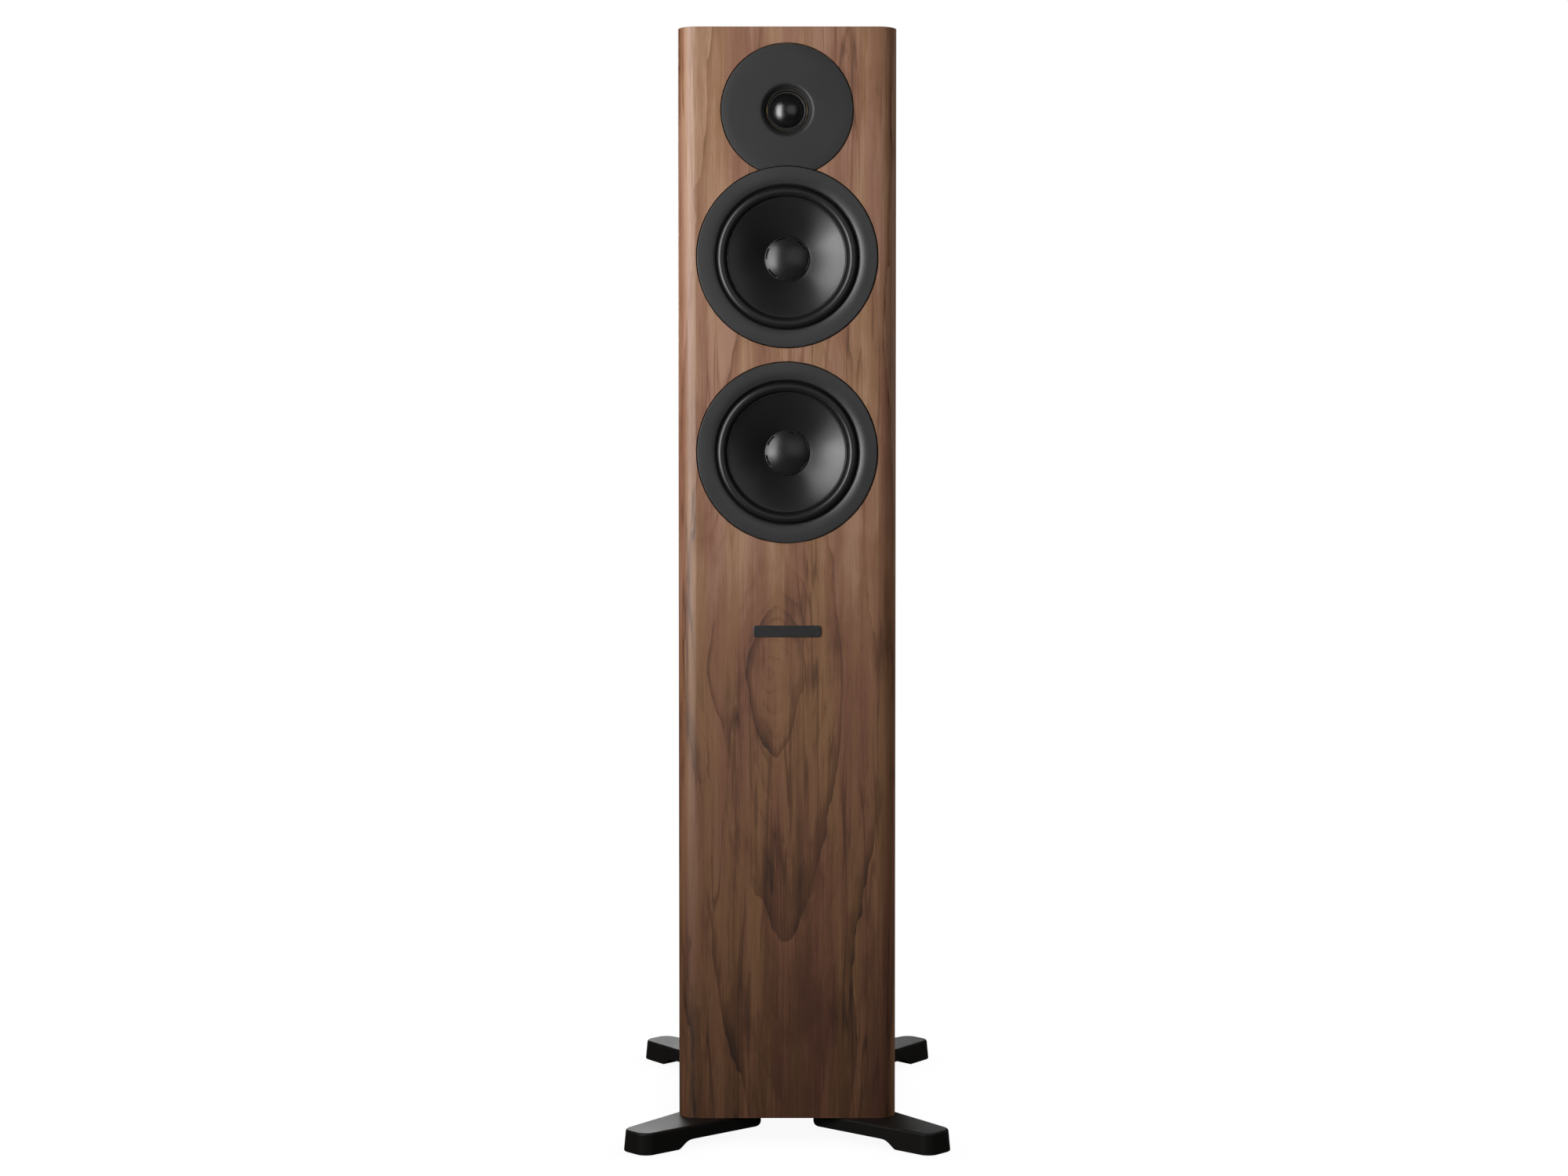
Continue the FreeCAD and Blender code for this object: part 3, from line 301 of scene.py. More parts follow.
def walnut():
    """Satin-lacquered walnut: nearly straight grain, with an eye-shaped figure below the drivers.

    Lengths are in millimetres. The layers of noise take different shifts, which pick different slices of it.
    """
    wood = Shader("walnut_veneer")
    bottom = cabinet_bottom / MM
    top = cabinet_top / MM
    top_stretch = 1.6
    top_start = 1900.0
    eye_height = bottom + 370.0
    eye_side = -11.0
    eye_width = 56.0
    eye_lean = 0.05
    eye_reach_up = 190.0
    eye_reach_down = 225.0
    eye_power = 1.2
    straight_from = 1.7
    straight_ease = 0.8
    ring_count, ring_power = 2.05, 9.0
    fine_ring_count, fine_ring_power = 9.3, 4.0
    band_count, band_length = 2.6, 0.0025
    vein_width = 0.024
    middle_tone = 0.60

    # the wrap unrolled: the sides carry on from the edges of the front, and the top runs front to back
    behind = wood.math("MAXIMUM", wood.math("SUBTRACT", wood.y, front_y / MM), 0.0)
    wrapped = wood.math("MULTIPLY_ADD", wood.math("SIGN", wood.x), behind, wood.x)
    on_top = wood.remap(wood.z, top - 0.4, top - 0.2)
    across = wood.math("MULTIPLY_ADD", on_top, wood.math("SUBTRACT", wood.x, wrapped), wrapped)
    along_top = wood.math("MULTIPLY_ADD", wood.y, top_stretch, top_start)
    along = wood.math("MULTIPLY_ADD", on_top, wood.math("SUBTRACT", along_top, wood.z), wood.z)

    def grain(width, length, detail=2.0, roughness=0.5, shift=0.0):
        """Noise stretched along the grain, its cells about width by length millimetres."""
        place = wood.join(wood.math("MULTIPLY", across, 1 / width),
                          wood.math("MULTIPLY", along, 1 / length), shift)
        return wood.noise(place, 1.0, detail, roughness)

    def centred(layer, amount):
        """A layer of noise moved to lie round zero, and made larger or smaller."""
        return wood.math("MULTIPLY", wood.math("SUBTRACT", layer, 0.5), amount)

    # distance out through the growth rings, which waver in three sizes
    rise = wood.math("SUBTRACT", along, eye_height)
    above = wood.math("GREATER_THAN", rise, 0.0)
    reach = wood.math("MULTIPLY_ADD", above, eye_reach_up - eye_reach_down, eye_reach_down)
    distance = wood.math("ABSOLUTE", rise)
    closing = wood.math("POWER", wood.math("DIVIDE", distance, reach), eye_power)
    closing = wood.math("SMOOTH_MIN", closing, straight_from, straight_ease)
    axis = wood.math("MULTIPLY_ADD", distance, eye_lean, eye_side)
    offset = wood.math("SUBTRACT", across, axis)
    offset = wood.math("ADD", offset, centred(grain(60, 210, detail=1.0), 34.0))
    offset = wood.math("ADD", offset, centred(grain(15, 70, shift=3.0), 15.0))
    offset = wood.math("ADD", offset, centred(grain(5, 26, shift=5.0), 4.0))
    offset = wood.math("DIVIDE", offset, eye_width)
    rings = wood.math("SQRT", wood.math("MULTIPLY_ADD", offset, offset, closing))

    # each ring darkens outwards and ends in a thin dark line, here strong and there faint
    phase = wood.math("FRACT", wood.math("MULTIPLY_ADD", rings, ring_count, centred(grain(120, 300), 0.5)))
    line = wood.math("POWER", phase, ring_power)
    line = wood.math("MULTIPLY", line, wood.remap(grain(35, 160, shift=7.0), 0.35, 0.62))
    fine_phase = wood.math("FRACT", wood.math("MULTIPLY", rings, fine_ring_count))
    fine_line = wood.math("MULTIPLY", wood.math("POWER", fine_phase, fine_ring_power),
                          wood.remap(grain(30, 120, shift=11.0), 0.45, 0.7))
    bands = wood.noise(wood.join(wood.math("MULTIPLY", rings, band_count),
                                 wood.math("MULTIPLY", along, band_length)), detail=4.0, roughness=0.6)
    smoke = wood.remap(grain(46, 130, detail=4.0, roughness=0.62, shift=19.0), 0.5, 0.74)
    fibres = grain(0.9, 70, detail=4.0, roughness=0.7, shift=23.0)
    threads = grain(0.35, 22, roughness=0.6, shift=29.0)
    pores = wood.remap(grain(0.45, 9, detail=1.0, shift=31.0), 0.66, 0.74)
    from_vein = wood.math("ABSOLUTE", centred(grain(15, 300, shift=47.0), 1.0))
    vein = wood.math("MULTIPLY", wood.remap(from_vein, 0.0, vein_width, 1.0, 0.0),
                     wood.remap(grain(40, 200, shift=53.0), 0.42, 0.6))

    # painted light and shade: paler above the eye and darker towards the floor, as the lamps light the top of
    # the front more than the bottom
    painted_light_above = wood.remap(wood.z, bottom + 360.0, bottom + 470.0, 0.0, 0.24, smooth=True)
    painted_shade_below = wood.remap(wood.z, bottom, bottom + 260.0, -0.14, 0.0, smooth=True)
    tone = wood.math("ADD", wood.math("ADD", middle_tone, painted_light_above), painted_shade_below)
    streaks = grain(13, 380, detail=3.0, roughness=0.6, shift=41.0)
    fine_streaks = grain(3.5, 150, detail=3.0, roughness=0.6, shift=43.0)
    for layer, amount in ((bands, 0.42), (streaks, 0.66), (fine_streaks, 0.30),
                          (fibres, 0.52), (threads, 0.34)):
        tone = wood.math("ADD", tone, centred(layer, amount))
    for mark, depth in ((line, 0.50), (fine_line, 0.16), (smoke, 0.27), (pores, 0.16), (vein, 0.34)):
        tone = wood.math("MULTIPLY_ADD", mark, -depth, tone)
    golden = wood.ramp(tone, [(0.0, (0.046, 0.018, 0.006)), (0.35, (0.138, 0.058, 0.021)),
                              (0.62, (0.262, 0.124, 0.052)), (1.0, (0.395, 0.226, 0.130))])
    ruddy = wood.ramp(tone, [(0.0, (0.044, 0.015, 0.007)), (0.35, (0.122, 0.043, 0.020)),
                             (0.62, (0.222, 0.089, 0.046)), (1.0, (0.345, 0.178, 0.115))])
    ruddiness = wood.remap(grain(17, 240, detail=3.0, shift=37.0), 0.37, 0.63)
    colour = wood.mix(ruddiness, golden, ruddy)
    relief = wood.math("MULTIPLY_ADD", pores, -0.6, fibres)
    return wood.surface(Base_Color=colour, Roughness=wood.spread(fibres, 0.52, 0.42),
                        Specular_IOR_Level=0.5, Coat_Weight=0.45, Coat_Roughness=0.5,
                        Normal=wood.bump(relief, 0.05, strength=0.7))


def moulded(name, colour, roughness, grain=0.5, relief=0.02, variation=0.1, **extra):
    """Moulded or coated surface: fine even texture, with slow changes of tone and sheen."""
    shader = Shader(name)
    fine = shader.noise(shader.place, scale=1 / grain, detail=3.0, roughness=0.6)
    broad = shader.noise(shader.place, scale=0.025, detail=3.0)
    tone = shader.spread(broad, 1 - variation, 1 + variation)
    tone = shader.math("MULTIPLY", tone, shader.spread(fine, 1 - variation / 2, 1 + variation / 2))
    sheen = shader.spread(broad, roughness - 0.03, roughness + 0.03)
    sheen = shader.math("ADD", sheen, shader.spread(fine, -0.04, 0.04))
    return shader.surface(Base_Color=shader.tint(colour, tone), Roughness=sheen,
                          Normal=shader.bump(fine, relief), **extra)


def brushed(name, colour, roughness, direction):
    """Metal with fine brush lines; direction holds the stretch along X, Y and Z."""
    shader = Shader(name)
    lines = shader.noise(shader.stretched(*direction), detail=4.0, roughness=0.7)
    smears = shader.noise(shader.place, scale=0.08)
    tone = shader.math("MULTIPLY", shader.spread(lines, 0.82, 1.18), shader.spread(smears, 0.92, 1.08))
    return shader.surface(Base_Color=shader.tint(colour, tone), Metallic=1.0,
                          Roughness=shader.spread(lines, roughness + 0.1, roughness - 0.06),
                          Normal=shader.bump(lines, 0.01))


def fibreboard():
    """Raw board: short pale fibres pressed flat, with dark specks."""
    shader = Shader("fibreboard")
    fibres = shader.noise(shader.stretched(0.9, 0.9, 0.9), detail=5.0, roughness=0.7, distortion=0.8)
    specks = shader.remap(shader.noise(shader.place, scale=1.7, detail=1.0), 0.62, 0.7)
    tone = shader.math("MULTIPLY_ADD", specks, -0.35, shader.spread(fibres, 0.8, 1.2))
    return shader.surface(Base_Color=shader.tint((0.33, 0.22, 0.13), tone), Roughness=0.85,
                          Normal=shader.bump(fibres, 0.15))


def felt():
    """Loose grey fibre wadding."""
    shader = Shader("wadding_fibre")
    tufts = shader.noise(shader.place, scale=0.18, detail=5.0, roughness=0.7, distortion=1.2)
    hairs = shader.noise(shader.place, scale=1.6, detail=4.0, roughness=0.75, distortion=1.5)
    tone = shader.math("MULTIPLY", shader.spread(tufts, 0.75, 1.15), shader.spread(hairs, 0.7, 1.2))
    return shader.surface(Base_Color=shader.tint((0.55, 0.55, 0.52), tone), Roughness=0.95,
                          Sheen_Weight=0.5, Normal=shader.bump(hairs, 0.6))


def cloth(name, colour, thread, roughness=0.85, **extra):
    """Woven textile: two crossing sets of threads in the plane of the front."""
    shader = Shader(name)
    turn = math.pi / thread
    warp = shader.math("SINE", shader.math("MULTIPLY", shader.x, turn))
    weft = shader.math("SINE", shader.math("MULTIPLY", shader.z, turn))
    weave = shader.math("MULTIPLY_ADD", shader.math("MULTIPLY", warp, weft), 0.5, 0.5)
    wear = shader.noise(shader.place, scale=0.2, detail=3.0)
    tone = shader.math("MULTIPLY", shader.remap(weave, 0.0, 1.0, 0.82, 1.12),
                       shader.spread(wear, 0.9, 1.1))
    thread_relief = thread * 0.12
    return shader.surface(Base_Color=shader.tint(colour, tone), Roughness=roughness,
                          Normal=shader.bump(weave, thread_relief), **extra)


def winding():
    """Enamelled copper wire, wound in fine even turns."""
    shader = Shader("copper_winding")
    radians_per_mm = 7.0
    turns = shader.math("MULTIPLY", shader.math("ADD", shader.y, shader.z), radians_per_mm)
    turns = shader.math("MULTIPLY_ADD", shader.math("SINE", turns), 0.5, 0.5)
    glaze = shader.noise(shader.place, scale=0.3, detail=3.0)
    tone = shader.math("MULTIPLY", shader.remap(turns, 0.0, 1.0, 0.6, 1.1), shader.spread(glaze, 0.85, 1.1))
    return shader.surface(Base_Color=shader.tint((0.60, 0.22, 0.09), tone), Metallic=0.9, Roughness=0.32,
                          Coat_Weight=0.5, Normal=shader.bump(turns, 0.12))


def circuit_board():
    """Dark green lacquer over faint tracks."""
    shader = Shader("circuit_board")
    gap = 0.06
    to_edge = shader.cells(shader.stretched(0.08, 0.08, 0.0), 1.0, "DISTANCE_TO_EDGE")
    tracks = shader.math("GREATER_THAN", to_edge, gap)
    lacquer = shader.noise(shader.place, scale=0.6, detail=3.0)
    colour = shader.mix(tracks, (0.03, 0.10, 0.05), (0.045, 0.17, 0.08))
    return shader.surface(Base_Color=shader.tint(colour, shader.spread(lacquer, 0.9, 1.1)),
                          Roughness=0.3, Coat_Weight=0.4, Normal=shader.bump(tracks, 0.03))


def make_materials():
    """One material for each slot of the record. Grain, thread and relief are in millimetres."""
    across = (0.05, 2.0, 2.0)
    turned = (0.6, 3.0, 0.6)
    black = (0.012, 0.012, 0.013)
    return {
        "walnut_veneer": walnut(),
        "fibreboard": fibreboard(),
        "black_board": moulded("black_board", black, roughness=0.5, grain=0.8, relief=0.04),
        "wadding": felt(),
        "badge_metal": brushed("badge_metal", (0.11, 0.11, 0.115), 0.34, across),
        "black_moulding": moulded("black_moulding", (0.014, 0.014, 0.015), roughness=0.48,
                                  grain=0.45, relief=0.03),
        "plated_brass": brushed("plated_brass", (0.80, 0.62, 0.30), 0.2, turned),
        "red_knob": moulded("red_knob", (0.30, 0.008, 0.008), roughness=0.28,
                            grain=0.8, relief=0.01, variation=0.08, Coat_Weight=0.5),
        "black_knob": moulded("black_knob", black, roughness=0.28,
                              grain=0.8, relief=0.01, variation=0.08, Coat_Weight=0.5),
        "black_screw_steel": brushed("black_screw_steel", (0.05, 0.05, 0.052), 0.4, turned),
        "bright_steel": brushed("bright_steel", (0.52, 0.52, 0.54), 0.3, turned),
        "circuit_board": circuit_board(),
        "copper_winding": winding(),
        "capacitor_film": moulded("capacitor_film", (0.55, 0.38, 0.05), roughness=0.3,
                                  grain=0.9, variation=0.12),
        "ceramic": moulded("ceramic", (0.66, 0.63, 0.56), roughness=0.75, grain=0.35, relief=0.06),
        "cable_jacket": moulded("cable_jacket", (0.03, 0.03, 0.033), roughness=0.5, grain=0.6),
        "tweeter_plate": moulded("tweeter_plate", (0.021, 0.0212, 0.022), roughness=0.48,
                                 grain=0.28, relief=0.018, variation=0.06),
        "tweeter_carrier": moulded("tweeter_carrier", (0.02, 0.018, 0.014), roughness=0.4, grain=0.4),
        "dome_textile": cloth("dome_textile", (0.006, 0.006, 0.0065), thread=0.22, roughness=0.2,
                              Coat_Weight=0.8, Coat_Roughness=0.15),
        "ferrite": moulded("ferrite", (0.06, 0.06, 0.062), roughness=0.7,
                           grain=0.6, relief=0.05, variation=0.15),
        "cast_basket": moulded("cast_basket", (0.03, 0.03, 0.032), roughness=0.55, relief=0.05),
        "trim_ring": moulded("trim_ring", (0.033, 0.033, 0.0345), roughness=0.37,
                             grain=0.3, relief=0.014, variation=0.07),
        "surround_rubber": moulded("surround_rubber", (0.010, 0.010, 0.0105), roughness=0.33,
                                   relief=0.008, variation=0.08),
        "spider_cloth": cloth("spider_cloth", (0.40, 0.22, 0.07), thread=0.5),
        "cone_polymer": moulded("cone_polymer", (0.013, 0.013, 0.0135), roughness=0.31,
                                grain=0.35, relief=0.008, variation=0.07),
        "foot_casting": moulded("foot_casting", (0.009, 0.0078, 0.0068), roughness=0.5,
                                grain=0.55, relief=0.04, Specular_IOR_Level=0.3),
        "pad_rubber": moulded("pad_rubber", (0.012, 0.012, 0.012), roughness=0.75, relief=0.03),
    }


materials = make_materials()
for part in frame["record"]["subparts"]:
    dress(frame["nodes"][part["node"]], materials[part["material_slot"]])
slot_of = {part["node"]: part["material_slot"] for part in frame["record"]["subparts"]}


def take_place(piece, node, finish=None):
    """The piece takes a node's place, with the node's finish unless another is given."""
    dress(piece, finish or materials[slot_of[node]])
    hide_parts(node)


def stand_for(piece, node, body):
    """A rigid piece takes a node's place and rides on a body."""
    take_place(piece, node)
    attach(piece, body)


def stretch_for(piece, node, finish=None):
    """A flexible ring takes a node's place, with its placing baked into its mesh."""
    take_place(piece, node, finish)
    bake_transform(piece)


# ---------------------------------------------------------------- woofers


def trim_ring(name, x, z):
    """Cover ring: flat outside, rolling over and falling inwards to the surround."""
    seat = radius_of("woofer_trim_rings")
    front, back = depths_of("woofer_trim_rings")
    outer = seat - JOINT
    inner = seat - 14.8 * MM
    flat_end = seat - 6.7 * MM
    skirt = seat - 8.7 * MM
    edge = 0.5 * MM
    lip = 0.5 * MM
    slope = 27.0
    bend = (flat_end - inner) / math.sin(math.radians(slope))
    section = arc((outer - edge, front + edge), edge, 0, -90, 6)
    fall = arc((flat_end, front + bend), bend, -90, -90 - slope, 20)
    section += fall[:-1]
    lip_depth = fall[-1][1] + 1.2 * lip
    section += arc((inner + lip, lip_depth), lip, -90 - slope, -180, 6)
    section += [(inner, back - edge), (skirt, back - edge), (skirt, back), (outer, back)]
    return lathe(name, section, x, z, segments=256)


def surround(name, woofer, x, z):
    """Rubber half roll with a small groove where it meets the cone and the flange."""
    low, high = depths_of(woofer + "_surround")
    skin = 0.8 * MM
    foot = high - skin
    inner = radius_of(woofer + "_cone")
    roll = foot - low
    middle = inner + roll
    outer = middle + roll
    rim = radius_of(woofer + "_surround")
    lip = inner - 1.7 * MM
    chamfer = 0.3 * MM
    groove_out = 0.3 * MM
    groove_depth = 0.35 * MM
    inner_groove = 0.7 * MM
    outer_groove = 0.8 * MM
    section = [(lip, high), (lip, foot + chamfer), (lip + chamfer, foot), (inner - inner_groove, foot)]
    section += [(inner - groove_out, foot + groove_depth), (inner, foot)]
    section += arc((middle, foot), roll, 180, 360, 32)
    section += [(outer + groove_out, foot + groove_depth), (outer + outer_groove, foot)]
    section += [(rim, foot), (rim, high), (outer - skin, high)]
    section += arc((middle, high), roll - skin, 360, 180, 24)[1:]
    return lathe(name, section, x, z, segments=224, sharp_angle=50)


def cone(name, woofer, x, z):
    """Moulded cone, steeper at the cap than at its edge."""
    rim = radius_of(woofer + "_cone")
    front, back = depths_of(woofer + "_cone")
    wall = 0.8 * MM
    edge = rim - 1.8 * MM
    neck = radius_of(woofer + "_dust_cap")
    neck_front = depths_of(woofer + "_dust_cap")[1] - wall
    drop = neck_front - front
    run = edge - neck
    edge_pull = (0.36, 0.25)
    neck_pull = (0.30, 0.39)
    front_face = bezier((edge, front), (edge - edge_pull[0] * run, front + edge_pull[1] * drop),
                        (neck + neck_pull[0] * run, neck_front - neck_pull[1] * drop), (neck, neck_front), 40)
    back_face = [(r + 0.35 * wall, d + 1.1 * wall) for r, d in reversed(front_face)]
    section = [(rim, front)] + front_face + [(neck, back), (neck + wall, back)] + back_face[2:]
    section += [(rim, front + wall)]
    return lathe(name, section, x, z, segments=224, sharp_angle=40)


def dust_cap(name, woofer, x, z, first_angle):
    """Domed cap with six narrow vents round its edge."""
    radius = radius_of(woofer + "_dust_cap")
    front, back = depths_of(woofer + "_dust_cap")
    wall = 0.8 * MM
    rise = back - wall - front
    sphere = (radius ** 2 + rise ** 2) / (2 * rise)
    vent_inner = radius - 2.2 * MM
    vent_outer = radius - 1.2 * MM
    vent_angle = 30
    vent_pitch = 60
    rings = [radius * share for share in (0.04, 0.1, 0.18, 0.27, 0.36, 0.45, 0.54, 0.63, 0.72, 0.8)]
    rings += [vent_inner - 0.5 * MM, vent_inner, vent_outer, vent_outer + 0.4 * MM, radius]
    steps = 180
    vertices = [(x, front_y + front, z)]
    for ring_radius in rings:
        depth = front + sphere - math.sqrt(sphere ** 2 - ring_radius ** 2)
        for number in range(steps):
            angle = math.radians(first_angle + number * 360 / steps)
            vertices.append((x + ring_radius * math.cos(angle), front_y + depth,
                             z - ring_radius * math.sin(angle)))
    faces = [(0, 1 + number, 1 + (number + 1) % steps) for number in range(steps)]
    for ring in range(len(rings) - 1):
        in_vent_ring = rings[ring] == vent_inner
        for number in range(steps):
            if in_vent_ring and (number * 360 / steps) % vent_pitch < vent_angle:
                continue
            after = (number + 1) % steps
            start = 1 + ring * steps
            faces.append((start + number, start + after, start + steps + after, start + steps + number))
    piece = mesh_object(name, vertices, faces, sharp_angle=50)
    shell = piece.modifiers.new("wall", "SOLIDIFY")
    shell.thickness = wall
    shell.offset = -1
    return piece


def spider(name, woofer, x, z):
    """Corrugated cloth disc round the voice coil."""
    tuck = 0.5 * MM
    clearance = 0.4 * MM
    thickness = 0.7 * MM
    half = thickness / 2
    inner = radius_of(woofer + "_coil") - tuck
    outer = radius_of(woofer + "_spider")
    low, high = depths_of(woofer + "_spider")
    middle = (low + high) / 2
    swing = (high - low) / 2 - clearance
    flat_from = outer - SPIDER_RIM
    half_waves = 4
    front = []
    steps = 48
    for number in range(steps + 1):
        share = number / steps
        r = inner + (flat_from - inner) * share
        front.append((r, middle - swing * math.sin(share * half_waves * math.pi) - half))
    section = front + [(outer, middle - half), (outer, middle + half)]
    section += [(r, d + thickness) for r, d in reversed(front)]
    return lathe(name, section, x, z, segments=144, sharp_angle=60)


for woofer, first_vent in (("upper_woofer", 0.0), ("lower_woofer", 22.0)):
    middle = centre_of(woofer + "_cone")
    diaphragm = woofer + "_diaphragm"
    stand_for(trim_ring(woofer + "_trim", middle.x, middle.z), "woofer_trim_rings", "cabinet")
    stand_for(cone(woofer + "_cone_skin", woofer, middle.x, middle.z), woofer + "_cone", diaphragm)
    stand_for(dust_cap(woofer + "_cap_skin", woofer, middle.x, middle.z, first_vent),
              woofer + "_dust_cap", diaphragm)
    stretch_for(surround(woofer + "_rubber", woofer, middle.x, middle.z), woofer + "_surround")
    stretch_for(spider(woofer + "_cloth", woofer, middle.x, middle.z), woofer + "_spider")


# ---------------------------------------------------------------- tweeter


def carve(piece, cutter):
    """Cuts one mesh out of another and keeps the result as plain mesh."""
    step = piece.modifiers.new("cut", "BOOLEAN")
    step.operation = "DIFFERENCE"
    step.solver = "EXACT"
    step.object = cutter
    graph = bpy.context.evaluated_depsgraph_get()
    mesh = bpy.data.meshes.new_from_object(piece.evaluated_get(graph))
    piece.modifiers.clear()
    piece.data = mesh
    mesh.set_sharp_from_angle(angle=math.radians(35))
    bpy.data.objects.remove(cutter)
    return piece


def tweeter_plate(x, z):
    """Flat plate with a dished recess round the dome, cut away round the upper woofer."""
    outer = radius_of("tweeter_faceplate") - JOINT
    front, hub_back = depths_of("tweeter_faceplate")
    plate_back = front + 4.0 * MM
    hub = 30.0 * MM
    mouth = 22.9 * MM
    throat = 17.1 * MM
    throat_flare = 0.6 * MM
    throat_depth = 0.4 * MM
    edge = 0.4 * MM
    lip = 3.4 * MM
    wall_angle = 60
    section = [(outer, plate_back)]
    section += arc((outer - edge, front + edge), edge, 0, -90, 4)
    # two more rings on the flat keep its shading even
    section += [(outer - 8 * MM, front), (mouth + 3 * MM, front)]
    section += arc((mouth, front + lip), lip, -90, -90 - wall_angle, 14)
    section += [(throat + throat_flare, hub_back - throat_depth), (throat, hub_back)]
    section += [(hub, hub_back), (hub, plate_back)]
    plate = lathe("tweeter_plate", section, x, z, segments=256)
    woofer = centre_of("upper_woofer_cone")
    bite = radius_of("woofer_trim_rings")
    reach = 20 * MM
    cutter = lathe("bite", [(0, -reach), (bite, -reach), (bite, reach), (0, reach)],
                   woofer.x, woofer.z, segments=360, closed=False)
    return carve(plate, cutter)


def tweeter_roll(x, z):
    """Narrow half roll round the dome."""
    inner = radius_of("tweeter_dome") + 0.1 * MM
    outer = radius_of("tweeter_surround")
    back = depths_of("tweeter_surround")[1]
    skin = 0.3 * MM
    middle = (inner + outer) / 2
    roll = (outer - inner) / 2
    section = [(inner, back)] + arc((middle, back - skin), roll, 180, 360, 16) + [(outer, back)]
    section += arc((middle, back), roll - skin, 360, 180, 12)
    return lathe("tweeter_roll", section, x, z, segments=128, sharp_angle=50)


def tweeter_cap(x, z):
    """The dome: part of a thin hollow ball."""
    radius = radius_of("tweeter_dome")
    front, back = depths_of("tweeter_dome")
    rise = back - front
    sphere = (radius ** 2 + rise ** 2) / (2 * rise)
    wall = 0.25 * MM
    inside_share = 0.985
    steps = 24
    outside = []
    inside = []
    for number in range(steps + 1):
        r = radius * number / steps
        depth = front + sphere - math.sqrt(sphere ** 2 - r ** 2)
        outside.append((r, depth))
        inside.append((r * inside_share, depth + wall))
    return lathe("tweeter_dome_skin", outside + list(reversed(inside)), x, z,
                 segments=160, closed=False, sharp_angle=50)


def tweeter_ring(x, z):
    """Thin bronze ring at the throat."""
    depth = depths_of("tweeter_faceplate")[1] - 1.45 * MM
    radius = 16.75 * MM
    wire = 0.12 * MM
    return lathe("tweeter_ring", arc((radius, depth), wire, 0, 330, 11), x, z, segments=160)


def lead_cover(name, x, z, middle_angle):
    """Short curved bronze strip over the place where a coil lead leaves the dome."""
    front = front_y + depths_of("tweeter_faceplate")[1] - 1.6 * MM
    back = front + 0.4 * MM
    inner, outer = 16.1 * MM, 16.9 * MM
    half_angle = 10
    steps = 12
    vertices = []
    for number in range(steps + 1):
        angle = math.radians(middle_angle - half_angle + 2 * half_angle * number / steps)
        for radius, y in ((inner, front), (outer, front), (outer, back), (inner, back)):
            vertices.append((x + radius * math.cos(angle), y, z + radius * math.sin(angle)))
    faces = [(0, 1, 2, 3), tuple(4 * steps + corner for corner in range(4))]
    for number in range(steps):
        start = 4 * number
        for corner in range(4):
            after = (corner + 1) % 4
            faces.append((start + corner, start + after, start + 4 + after, start + 4 + corner))
    return mesh_object(name, vertices, faces)


tweeter = centre_of("tweeter_dome")
stand_for(tweeter_plate(tweeter.x, tweeter.z), "tweeter_faceplate", "cabinet")
stand_for(tweeter_cap(tweeter.x, tweeter.z), "tweeter_dome", "tweeter_diaphragm")
stretch_for(tweeter_roll(tweeter.x, tweeter.z), "tweeter_surround",
            cloth("dome_roll", (0.008, 0.008, 0.0085), thread=0.22, roughness=0.5))
bronze = brushed("bronze", (0.22, 0.155, 0.09), 0.42, (1.0, 1.0, 1.0))
for piece in (tweeter_ring(tweeter.x, tweeter.z),
              lead_cover("left_lead_cover", tweeter.x, tweeter.z, 180),
              lead_cover("right_lead_cover", tweeter.x, tweeter.z, 0)):
    dress(piece, bronze)
    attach(piece, "cabinet")


# ---------------------------------------------------------------- wadding


def islands_of(node):
    """Low and high corners of each separate solid of a node."""
    work = bmesh.new()
    work.from_mesh(frame["nodes"][node].data)
    same_place = 0.001 * MM
    bmesh.ops.remove_doubles(work, verts=work.verts, dist=same_place)
    waiting = set(work.verts)
    boxes = []
    while waiting:
        island = [waiting.pop()]
        for vertex in island:
            for edge in vertex.link_edges:
                other = edge.other_vert(vertex)
                if other in waiting:
                    waiting.remove(other)
                    island.append(other)
        places = np.array([vertex.co for vertex in island])
        boxes.append((places.min(axis=0), places.max(axis=0)))
    work.free()
    return sorted(boxes, key=lambda box: box[0][2])


